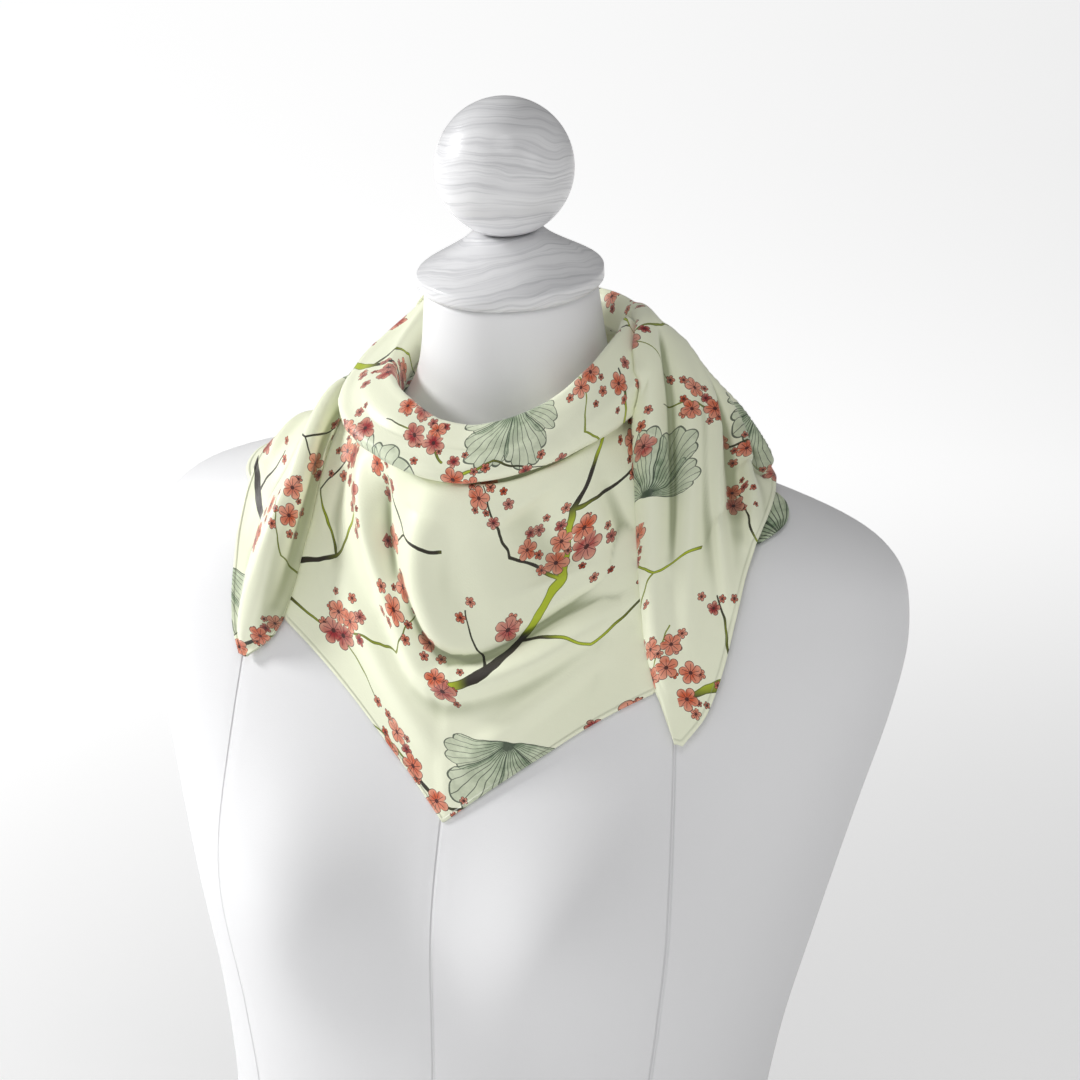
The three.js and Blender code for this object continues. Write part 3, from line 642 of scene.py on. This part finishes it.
wrap_turns = np.linspace(WRAP_ROWS[-1, WRAP_TURN], WRAP_ROWS[0, WRAP_TURN], WRAP_STEPS)[:-1]
wrap_lines = [wrap_section(turn) for turn in wrap_turns]
sash_grid = make_end(RIGHT_ROWS, RIGHT_FOLDS, wrap_lines, (0, 0, 0), -1)
left_grid = make_end(LEFT_ROWS, LEFT_FOLDS, [], LEFT_PROUD, 1)
sash = cloth_wall("wrap_and_right_end_cloth", sash_grid, end_flat(sash_grid), end_edge(sash_grid), -1)
left_painted_shade = painted_inner_shade(left_grid)
left_end = cloth_wall("left_end_cloth", left_grid, end_flat(left_grid), end_edge(left_grid), 1, left_painted_shade)


# %% [markdown]
# A wall that is inside out looks right at first and goes wrong in a slicer or under a thin finish.
# The sum of the small volumes between its faces and the origin is above 0 when they point outwards,
# so each sheet is measured here before it gets its silk.

# %% Facing test
def volume(piece):
    """The volume that a piece's faces close in: above 0 where they point outwards."""
    mesh = piece.data
    mesh.calc_loop_triangles()
    places = np.array([v.co for v in mesh.vertices])
    corners = np.array([t.vertices for t in mesh.loop_triangles])
    a, b, c = places[corners[:, 0]], places[corners[:, 1]], places[corners[:, 2]]
    return float((a * np.cross(b, c)).sum() / 6)


for piece in (front, sash, left_end):
    print(piece.name, "volume cm3", round(volume(piece) * 1e6, 2))


# %% [markdown]
# Shader maths reads best as ordinary sums. `Socket` wraps one socket of a node and gives it the
# operators, and `Finish` makes a material and any node in it from its type, settings and inputs.

# %% Sums on sockets
class Socket:
    def __init__(self, finish, socket):
        self.finish, self.socket = finish, socket

    def __add__(self, other):
        return self.finish.sum("ADD", self, other)

    def __sub__(self, other):
        return self.finish.sum("SUBTRACT", self, other)

    def __rsub__(self, other):
        return self.finish.sum("SUBTRACT", other, self)

    def __mul__(self, other):
        return self.finish.sum("MULTIPLY", self, other)

    def __lt__(self, other):
        return self.finish.sum("LESS_THAN", self, other)

    def __gt__(self, other):
        return self.finish.sum("GREATER_THAN", self, other)

    __radd__ = __add__
    __rmul__ = __mul__


class Finish:
    def __init__(self, name, **constants):
        self.material = bpy.data.materials.new(name)
        self.material.use_nodes = True
        self.tree = self.material.node_tree
        self.shader = self.tree.nodes["Principled BSDF"]
        for socket, value in constants.items():
            self.shader.inputs[socket.replace("_", " ")].default_value = value

    def node(self, kind, settings=None, inputs=None, out=0):
        """Any node: its settings are set first, then values or links go into its sockets."""
        made = self.tree.nodes.new("ShaderNode" + kind)
        for name, value in (settings or {}).items():
            setattr(made, name, value)
        for name, value in (inputs or {}).items():
            self.feed(made.inputs[name], value)
        return Socket(self, made.outputs[out])

    def feed(self, socket, value):
        if isinstance(value, Socket):
            self.tree.links.new(value.socket, socket)
        else:
            socket.default_value = value

    def sum(self, operation, *values):
        return self.node("Math", {"operation": operation}, dict(enumerate(values)))

    def vector(self, operation, *values):
        out = "Value" if operation in ("DOT_PRODUCT", "LENGTH", "DISTANCE") else "Vector"
        return self.node("VectorMath", {"operation": operation}, dict(enumerate(values)), out)

    def blend(self, share, first, second):
        inputs = {"Factor": share, 6: first, 7: second}
        return self.node("Mix", {"data_type": "RGBA", "clamp_factor": True}, inputs, 2)

    def step(self, value, low, high, start=0.0, end=1.0):
        """A smooth step from start to end as value goes from low to high."""
        inputs = {"Value": value, "From Min": low, "From Max": high, "To Min": start, "To Max": end}
        return self.node("MapRange", {"interpolation_type": "SMOOTHSTEP"}, inputs)

    def outlet(self, socket, name):
        """Another output of the node that a socket belongs to."""
        return Socket(self, socket.socket.node.outputs[name])

    def parts(self, place):
        """The three coordinates of a place."""
        first = self.node("SeparateXYZ", None, {0: place})
        return first, self.outlet(first, "Y"), self.outlet(first, "Z")

    def scaled(self, vector, factor):
        return self.node("VectorMath", {"operation": "SCALE"}, {0: vector, "Scale": factor})

    def noise(self, place, scale, detail=3.0, roughness=0.5, out=0):
        inputs = {"Vector": place, "Scale": scale, "Detail": detail, "Roughness": roughness}
        return self.node("TexNoise", None, inputs, out)

    def ends(self, **links):
        for name, value in links.items():
            self.feed(self.shader.inputs[name.replace("_", " ")], value)
        return self.material

    def bump(self, height, distance):
        return self.node("Bump", None, {"Height": height, "Distance": distance, "Strength": 1.0})


# %% [markdown]
# The silk is pale green with a printed design. The print is an ordinary one of blossom twigs and fan
# leaves, drawn by sums in the cloth's own flat place, in metres, and repeated as printed cloth is:
# one block of the design, with every second column dropped by half a block. A twig is a chain of
# tapering strokes. Blossoms come from scattered cells, kept only where the design has a cluster, so no
# two are the same. A fan leaf is a wedge with a scalloped rim and fine veins. An image would be
# quicker to place, but sums stay sharp at any size. Last, shade is painted into the silk where its folds
# are deep.

# %% The silk's print
BLOCK = (0.176, 0.214)
# Twigs: start, end, half-widths at both, all in metres on the block
TWIGS = [
    ((0.002, 0.014), (0.022, 0.026), 0.0014, 0.0034),
    ((0.022, 0.026), (0.042, 0.048), 0.0034, 0.0027),
    ((0.042, 0.048), (0.064, 0.076), 0.0026, 0.0022),
    ((0.064, 0.076), (0.072, 0.112), 0.0022, 0.0017),
    ((0.072, 0.112), (0.100, 0.140), 0.0017, 0.0012),
    ((0.100, 0.140), (0.112, 0.180), 0.0012, 0.0006),
    ((0.042, 0.048), (0.074, 0.036), 0.0014, 0.0009),
    ((0.074, 0.036), (0.112, 0.050), 0.0009, 0.0005),
    ((0.064, 0.076), (0.036, 0.096), 0.0012, 0.0007),
    ((0.036, 0.096), (0.020, 0.134), 0.0007, 0.0004),
    ((0.072, 0.112), (0.112, 0.104), 0.0011, 0.0007),
    ((0.112, 0.104), (0.150, 0.122), 0.0007, 0.0005),
    ((0.150, 0.122), (0.164, 0.158), 0.0005, 0.0003),
    ((0.100, 0.140), (0.078, 0.166), 0.0007, 0.0005),
    ((0.078, 0.166), (0.088, 0.206), 0.0005, 0.0003),
    ((0.112, 0.104), (0.140, 0.086), 0.0005, 0.0003),
    ((0.026, 0.030), (0.014, 0.066), 0.0009, 0.0004),
    ((0.176, 0.200), (0.152, 0.190), 0.0010, 0.0007),
    ((0.152, 0.190), (0.130, 0.202), 0.0007, 0.0004),
    ((0.152, 0.190), (0.142, 0.170), 0.0005, 0.0003),
    ((0.174, 0.062), (0.154, 0.074), 0.0009, 0.0006),
    ((0.154, 0.074), (0.130, 0.068), 0.0006, 0.0003),
    ((0.000, 0.160), (0.026, 0.168), 0.0010, 0.0006),
    ((0.026, 0.168), (0.056, 0.158), 0.0006, 0.0003),
]
# Clusters of blossom: middle and radius
CLUSTERS = [
    ((0.062, 0.100), 0.016),
    ((0.080, 0.080), 0.012),
    ((0.110, 0.052), 0.014),
    ((0.022, 0.128), 0.014),
    ((0.116, 0.114), 0.012),
    ((0.156, 0.146), 0.016),
    ((0.086, 0.192), 0.016),
    ((0.110, 0.172), 0.011),
    ((0.040, 0.060), 0.008),
    ((0.014, 0.066), 0.007),
    ((0.142, 0.086), 0.007),
    ((0.130, 0.203), 0.010),
    ((0.143, 0.172), 0.007),
    ((0.160, 0.072), 0.013),
    ((0.012, 0.164), 0.010),
    ((0.006, 0.019), 0.010),
    ((0.054, 0.159), 0.008),
]
# Layers of blossom: spacing, smallest and largest radius, and how far past a cluster they reach
BLOSSOMS = [
    (0.0104, 0.0018, 0.0040, 0.003),
    (0.0150, 0.0056, 0.0078, 0.0),
]
# Fan leaves: foot, direction in degrees, length, half-spread in radians
LEAVES = [
    ((0.134, 0.016), 150, 0.032, 0.40),
    ((0.134, 0.016), 30, 0.036, 0.42),
    ((0.134, 0.016), 108, 0.042, 0.46),
    ((0.134, 0.016), 68, 0.046, 0.46),
    ((0.040, 0.200), 190, 0.036, 0.40),
    ((0.040, 0.200), 318, 0.032, 0.40),
    ((0.040, 0.200), 232, 0.044, 0.46),
    ((0.040, 0.200), 278, 0.040, 0.44),
]


# Widths of the blossoms' fine lines, in metres
RAY_WIDTH, OUTLINE_WIDTH = 0.00065, 0.00034
# The printer's colours
GROUNDS = (0.930, 0.960, 0.720, 1), (0.955, 0.975, 0.770, 1)
LEAF_GREENS = (0.20, 0.30, 0.17, 1), (0.50, 0.60, 0.42, 1)
VEIN = (0.030, 0.050, 0.028, 1)
BARKS = (0.030, 0.022, 0.016, 1), (0.50, 0.60, 0.03, 1)
TWIG_EDGE = (0.05, 0.06, 0.02, 1)
CORALS = (0.66, 0.095, 0.022, 1), (0.74, 0.20, 0.11, 1)
RED = (0.38, 0.006, 0.014, 1)
PETAL_TIP, PETAL_WASH = (0.96, 0.56, 0.38, 1), (0.95, 0.56, 0.42, 1)
BLOSSOM_LINE = (0.05, 0.008, 0.008, 1)
STITCH = (0.45, 0.50, 0.36, 1)
# Painted shade in the folds: what is left of each colour deep in a fold, the depths in millimetres
# where that starts and is reached, and how strong it is
FOLD_SHADE_TINT, FOLD_SHADE_FROM, FOLD_SHADE_TO, FOLD_SHADE_SHARE = (0.34, 0.37, 0.27), 0.05, 1.5, 0.85


def block_place(finish, flat):
    """A place on the flat cloth as its place on the block, in metres."""
    across, down = finish.parts(flat)[:2]
    column = finish.sum("FLOOR", across * (1 / BLOCK[0]))
    drop = finish.sum("PINGPONG", column, 1.0) * 0.5
    rows = down * (1 / BLOCK[1]) + drop
    inputs = {0: across - column * BLOCK[0], 1: finish.sum("FRACT", rows) * BLOCK[1]}
    return finish.node("CombineXYZ", None, inputs)


def twig_distance(finish, place, start, end, thick, thin):
    """Distance to one tapering stroke: below 0 on it."""
    run = (Vector(end) - Vector(start)).to_3d()
    off = finish.vector("SUBTRACT", place, (*start, 0))
    share = finish.vector("DOT_PRODUCT", off, tuple(run / run.length_squared))
    share = finish.node("Clamp", None, {"Value": share})
    middle = finish.scaled(tuple(run), share)
    return finish.vector("DISTANCE", off, middle) - (share * (thin - thick) + thick)


def least(finish, values):
    """The lowest of some values at each place."""
    lowest = values[0]
    for value in values[1:]:
        lowest = finish.sum("MINIMUM", lowest, value)
    return lowest


def fan_leaf(finish, place, foot, direction, length, spread):
    """One fan leaf: its mask, its veins and how far out on it a place is."""
    angle = math.radians(direction)
    off = finish.vector("SUBTRACT", place, (*foot, 0))
    ahead = finish.vector("DOT_PRODUCT", off, (math.cos(angle), math.sin(angle), 0))
    aside = finish.vector("DOT_PRODUCT", off, (-math.sin(angle), math.cos(angle), 0))
    turn = finish.sum("ARCTAN2", aside, ahead)
    out = finish.vector("LENGTH", off) * (1 / length)
    scallop = finish.sum("ABSOLUTE", finish.sum("SINE", turn * (11 / spread / 2))) * 0.07
    rim = 0.93 - turn * turn * (0.25 / spread ** 2) + scallop
    side = spread - finish.sum("ABSOLUTE", turn)
    inside = (out < rim) * (side > 0.0)
    vein = finish.sum("ABSOLUTE", finish.sum("SINE", turn * (22 / spread / 2))) * out
    near_rim = (rim - out) < 0.022
    edge = (side * out) < 0.014
    lines = finish.sum("MAXIMUM", vein < 0.11, finish.sum("MAXIMUM", near_rim, edge))
    return inside, lines * inside, out


def blossoms(finish, flat, spacing, smallest, largest, margin):
    """Blossoms on scattered cells: masks for petals and for dark lines, two chances and a share out."""
    inputs = {"Vector": flat, "Scale": 1 / spacing, "Randomness": 0.72}
    cells = finish.node("TexVoronoi", {"voronoi_dimensions": "2D"}, inputs)
    centre = finish.outlet(cells, "Position")
    chance = finish.node("SeparateColor", None, {0: finish.outlet(cells, "Color")})
    second = finish.outlet(chance, "Green")
    home = block_place(finish, centre)
    nearest = least(finish, [finish.vector("DISTANCE", home, (*middle, 0)) - r for middle, r in CLUSTERS])
    there = nearest < margin
    off = finish.vector("SUBTRACT", flat, centre)
    across, down = finish.parts(off)[:2]
    turn = finish.sum("ARCTAN2", down, across) + chance * 6.28
    out = finish.vector("LENGTH", off)
    size = second * (largest - smallest) + smallest
    lobe = finish.sum("POWER", finish.sum("ABSOLUTE", finish.sum("COSINE", turn * 2.5)), 0.55)
    rim = size * (lobe * 0.46 + 0.54)
    petals = (out < rim) * there
    ray = finish.sum("ABSOLUTE", finish.sum("SINE", turn * 5.0 + 0.9)) * out
    rays = (ray < RAY_WIDTH) * (out < size * 0.74)
    outline = (rim - out) < OUTLINE_WIDTH
    heart = out < size * 0.16
    dark = finish.sum("MAXIMUM", finish.sum("MAXIMUM", rays, outline), heart) * petals
    return petals, dark, chance, second, out * (1 / largest)


def printed_leaves(finish, colour, place, wash):
    for foot, direction, length, spread in LEAVES:
        inside, lines, out = fan_leaf(finish, place, foot, direction, length, spread)
        cover = inside * finish.step(out, 0.0, 0.8, 0.95, 0.45)
        colour = finish.blend(cover, colour, finish.blend(wash, *LEAF_GREENS))
        colour = finish.blend(lines * 0.85, colour, VEIN)
    return colour


def printed_twigs(finish, colour, place, flat):
    twig = least(finish, [twig_distance(finish, place, *row) for row in TWIGS])
    age = finish.step(finish.noise(flat, 17.0, 1.0), 0.46, 0.58)
    bark = finish.blend((twig > -0.0005) * 0.55, finish.blend(age, *BARKS), TWIG_EDGE)
    return finish.blend(twig < 0.0, colour, bark)


def printed_blossoms(finish, colour, flat, wash):
    for spacing, smallest, largest, margin in BLOSSOMS:
        petals, dark, chance, second, share = blossoms(finish, flat, spacing, smallest, largest, margin)
        tint = finish.blend(second > 0.7, finish.blend(chance > 0.5, *CORALS), RED)
        tint = finish.blend(finish.step(share, 0.25, 0.95) * 0.5, tint, PETAL_TIP)
        tint = finish.blend(wash * 0.4, tint, PETAL_WASH)
        colour = finish.blend(petals, colour, tint)
        colour = finish.blend(dark * 0.95, colour, BLOSSOM_LINE)
    return colour


def silk_finish():
    """The printed silk: ground, leaves, twigs and blossoms, then hem, painted shade in the folds and weave.
    """
    finish = Finish("printed_silk", Sheen_Weight=0.25, Sheen_Roughness=0.45, Specular_IOR_Level=0.42)
    flat = finish.node("UVMap", {"uv_map": "flat_cloth"})
    wander = finish.vector("SUBTRACT", finish.noise(flat, 38.0, 2.0, 0.5, "Color"), (0.5, 0.5, 0.5))
    place = block_place(finish, finish.vector("ADD", flat, finish.scaled(wander, 0.009)))
    wash = finish.step(finish.noise(flat, 120.0, 3.0, 0.6), 0.36, 0.62)
    colour = finish.blend(finish.noise(flat, 9.0), *GROUNDS)
    colour = printed_leaves(finish, colour, place, wash)
    colour = printed_twigs(finish, colour, place, flat)
    colour = printed_blossoms(finish, colour, flat, wash)
    edge = finish.node("Attribute", {"attribute_name": "edge"}, None, "Fac")
    stitched = (edge > 0.0022) * (edge < 0.0030)
    colour = finish.blend(stitched * 0.2, colour, STITCH)
    # Painted shade: the colour is darkened where the cloth lies deep in a fold, under the roll and on the
    # left end's inner face
    painted_shade = finish.node("Attribute", {"attribute_name": "painted_shade"}, None, "Fac")
    shaded_colour = finish.vector("MULTIPLY", colour, FOLD_SHADE_TINT)
    colour = finish.blend(finish.step(painted_shade, FOLD_SHADE_FROM, FOLD_SHADE_TO) * FOLD_SHADE_SHARE, colour, shaded_colour)
    weave = finish.noise(flat, 900.0, 2.0, 0.6)
    hem = finish.step(edge, 0.0014, 0.0030, 1.0, 0.0)
    height = weave * 0.00012 + hem * 0.0006
    roughness = finish.noise(flat, 45.0) * 0.14 + 0.36
    return finish.ends(Base_Color=colour, Roughness=roughness, Normal=finish.bump(height, 1.0))


silk = silk_finish()
print("silk nodes:", len(silk.node_tree.nodes))


# %% [markdown]
# The form's cover is white satin stretched over the body. Its panels meet in fine sunk seams: one down
# the centre front and the centre back, and a princess seam on each side that runs from the shoulder
# over the bust to the hip. A ramp gives how far out the princess seam is at each level.

# %% The form's cover
SEAM_TOP = 0.614
SEAM_REACH = 0.25
CENTRE_SHIFT = 0.006
PRINCESS = [
    (0, 0.112), (0.1, 0.106), (0.161, 0.113), (0.195, 0.119), (0.245, 0.128), (0.29, 0.134),
    (0.348, 0.131), (0.415, 0.126), (0.47, 0.116), (0.52, 0.105),
]


def cover_finish():
    """White satin with its seams sunk by colour and bump, and a little pucker beside them."""
    finish = Finish("satin_cover", Sheen_Weight=0.15, Sheen_Roughness=0.5, Specular_IOR_Level=0.4)
    place = finish.node("TexCoord", None, None, "Object")
    x, y, z = finish.parts(place)
    side = finish.sum("ABSOLUTE", x)
    ramp = finish.node("ValToRGB", None, {"Fac": z * (1 / SEAM_TOP)})
    stops = ramp.socket.node.color_ramp
    stops.interpolation = "B_SPLINE"
    while len(stops.elements) < len(PRINCESS):
        stops.elements.new(0.5)
    for stop, (level, reach) in zip(stops.elements, PRINCESS):
        stop.position = level / SEAM_TOP
        stop.color = (reach / SEAM_REACH,) * 3 + (1,)
    ahead = y < 0.0
    centre = finish.sum("ABSOLUTE", x - ahead * CENTRE_SHIFT)
    princess = finish.sum("ABSOLUTE", side - ramp * SEAM_REACH)
    nearest = finish.sum("MINIMUM", princess, centre) + finish.step(z, 0.512, 0.53) * 0.02
    groove = finish.step(nearest, 0.0, 0.0013, 1.0, 0.0)
    pucker = finish.step(nearest, 0.0, 0.009, 1.0, 0.0)
    colour = finish.blend(groove * 0.12, (0.86, 0.86, 0.87, 1), (0.40, 0.40, 0.42, 1))
    weave = finish.noise(place, 1400.0, 1.0)
    waves = finish.noise(place, 60.0, 2.0)
    height = weave * 0.00006 - groove * 0.0007 - pucker * waves * 0.0006
    roughness = finish.noise(place, 30.0) * 0.1 + 0.42
    return finish.ends(Base_Color=colour, Roughness=roughness, Normal=finish.bump(height, 1.0))


# %% [markdown]
# The finial is turned wood under thin white paint, so the grain still shows as fine grey lines that
# run level round the ball and along the cap, wavering with the growth rings.

# %% The finial's paint
def paint_finish(name, turn):
    """Thin white paint on wood: fine grain lines and broad bands, turned to lie as they do on the piece."""
    finish = Finish(name, Coat_Weight=0.35, Coat_Roughness=0.12, Specular_IOR_Level=0.5)
    place = finish.node("TexCoord", None, None, "Object")
    inputs = {"Vector": place, "Location": (0, 0, -0.66), "Rotation": turn}
    place = finish.node("Mapping", None, inputs)
    bend = finish.noise(place, 22.0, 2.0, 0.5, "Color")
    bend = finish.vector("SUBTRACT", bend, (0.5, 0.5, 0.5))
    bent = finish.vector("ADD", place, finish.vector("MULTIPLY", bend, (0.0, 0.0, 0.016)))
    long = finish.vector("MULTIPLY", bent, (12.0, 12.0, 640.0))
    grain = finish.noise(long, 1.0, 4.0, 0.62)
    broad = finish.noise(finish.vector("MULTIPLY", bent, (6.0, 6.0, 170.0)), 1.0, 2.0, 0.5)
    line = finish.step(grain, 0.44, 0.72)
    shade = finish.step(broad, 0.38, 0.66)
    colour = finish.blend(line * 0.56, (0.84, 0.84, 0.85, 1), (0.42, 0.42, 0.44, 1))
    colour = finish.blend(shade * 0.26, colour, (0.50, 0.50, 0.52, 1))
    height = line * -0.00008
    roughness = line * 0.18 + 0.28
    return finish.ends(Base_Color=colour, Roughness=roughness, Normal=finish.bump(height, 1.0))


# %% [markdown]
# The form itself keeps the measured solid's shape, on a copy that is merged, turned back into quads
# and smoothed once or twice, so that its outline has no corners. Its lower rim and other sharp edges
# are creased so they stay crisp. The finial's turned pieces are handled the same way.

# %% The form and its finial
def smooth_copy(node, name, levels, keep_angle):
    """A merged, quad, smoothed copy of a measured solid; edges sharper than keep_angle stay crisp."""
    piece = bpy.data.objects.new(name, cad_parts[node].data.copy())
    bpy.context.collection.objects.link(piece)
    bpy.ops.object.select_all(action="DESELECT")
    bpy.context.view_layer.objects.active = piece
    piece.select_set(True)
    bpy.ops.object.mode_set(mode="EDIT")
    bpy.ops.mesh.select_all(action="SELECT")
    bpy.ops.mesh.remove_doubles(threshold=0.00002)
    bpy.ops.mesh.tris_convert_to_quads(face_threshold=math.radians(60), shape_threshold=math.radians(60))
    bpy.ops.mesh.select_all(action="DESELECT")
    bpy.ops.mesh.select_mode(type="EDGE")
    bpy.ops.mesh.edges_select_sharp(sharpness=math.radians(keep_angle))
    bpy.ops.transform.edge_crease(value=0.82)
    bpy.ops.object.mode_set(mode="OBJECT")
    smooth = piece.modifiers.new("smooth", "SUBSURF")
    smooth.levels = levels
    smooth.render_levels = levels
    bpy.ops.object.modifier_apply(modifier="smooth")
    bpy.ops.object.shade_smooth()
    piece.select_set(False)
    piece.data.materials.clear()
    print(name, "faces", len(piece.data.polygons))
    return piece


torso = smooth_copy("torso", "form_torso", 2, 50)
cap = smooth_copy("neck_cap", "turned_cap", 2, 28)
ball = smooth_copy("ball_finial", "turned_ball", 2, 40)


# %% [markdown]
# Every piece gets its finish, rides on the one body and stands for its solids.

# %% Finishes and bodies
cover = cover_finish()
ball_paint = paint_finish("painted_ball", (0.12, 0.05, 0))
cap_paint = paint_finish("painted_cap", (0.05, 0.22, 0.6))
for piece, material, slot in (
    (front, silk, "silk"),
    (sash, silk, "silk"),
    (left_end, silk, "silk"),
    (torso, cover, "form_skin"),
    (cap, cap_paint, "painted_wood"),
    (ball, ball_paint, "painted_wood"),
):
    piece.data.materials.append(material)
    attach(piece, "root")
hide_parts("scarf_collar", "scarf_bib")
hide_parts("scarf_back", "scarf_right_end")
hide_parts("scarf_left_end")
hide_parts("torso")
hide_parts("neck_cap")
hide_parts("ball_finial")


# %% [markdown]
# The stage is a plain pale floor, wide enough to be all that the camera sees behind the form. It glows
# with painted light, more to the left, as a bright studio sweep does, and only dimly under the form, as a
# painted shadow. A strong soft light far out on the left does most of the work, a high one in front
# opens the folds, and a weak one on the right keeps the far side of the form from going flat.

# %% Floor and light
FLOOR_SIZE = 60
# Painted glow of the floor: dim within SHADE_NEAR of the middle as a painted shadow, full from LIT_FAR out
SHADE_NEAR, LIT_FAR = 0.3, 2.6


def make_floor():
    bpy.ops.object.select_all(action="DESELECT")
    bpy.ops.mesh.primitive_plane_add(size=FLOOR_SIZE, location=(0, 0, 0))
    floor = bpy.context.object
    floor.name = "floor"
    finish = Finish("pale_floor", Roughness=0.9, Emission_Strength=1.0)
    place = finish.node("TexCoord", None, None, "Object")
    away = finish.vector("LENGTH", place)
    side = finish.sum("DIVIDE", finish.parts(place)[0], away)
    # Painted light: the floor's glow is brighter to the left and fades to a painted shadow near the form
    painted_side_glow = finish.blend(finish.step(side, -0.65, 0.15), (0.80, 0.80, 0.80, 1), (0.52, 0.52, 0.52, 1))
    painted_glow = finish.blend(finish.step(away, SHADE_NEAR, LIT_FAR), (0.14, 0.14, 0.14, 1), painted_side_glow)
    tone = finish.blend(finish.noise(place, 0.4), (0.86, 0.86, 0.86, 1), (0.89, 0.89, 0.89, 1))
    floor.data.materials.append(finish.ends(Base_Color=tone, Emission_Color=painted_glow))


def soft_light(name, place, aim, size, power):
    """A round area light that looks from its place to its aim."""
    data = bpy.data.lights.new(name, "AREA")
    data.shape = "DISK"
    data.size = size
    data.energy = power
    light = bpy.data.objects.new(name, data)
    bpy.context.collection.objects.link(light)
    facing = (Vector(place) - Vector(aim)).to_track_quat("Z", "Y")
    light.matrix_world = Matrix.Translation(place) @ facing.to_matrix().to_4x4()


make_floor()
soft_light("key", (-2.3, -0.45, 1.6), (0, 0, 0.48), 0.6, 51)
soft_light("fill", (0.7, -1.9, 2.6), (0, 0, 0.45), 1.5, 14)
soft_light("right", (2.3, -0.9, 1.5), (0, 0, 0.45), 1.2, 4)
world = bpy.data.worlds.new("surroundings")
world.use_nodes = True
world.node_tree.nodes["Background"].inputs["Color"].default_value = (1, 1, 1, 1)
world.node_tree.nodes["Background"].inputs["Strength"].default_value = 0.25
bpy.context.scene.world = world
bpy.context.scene.view_settings.view_transform = "Standard"
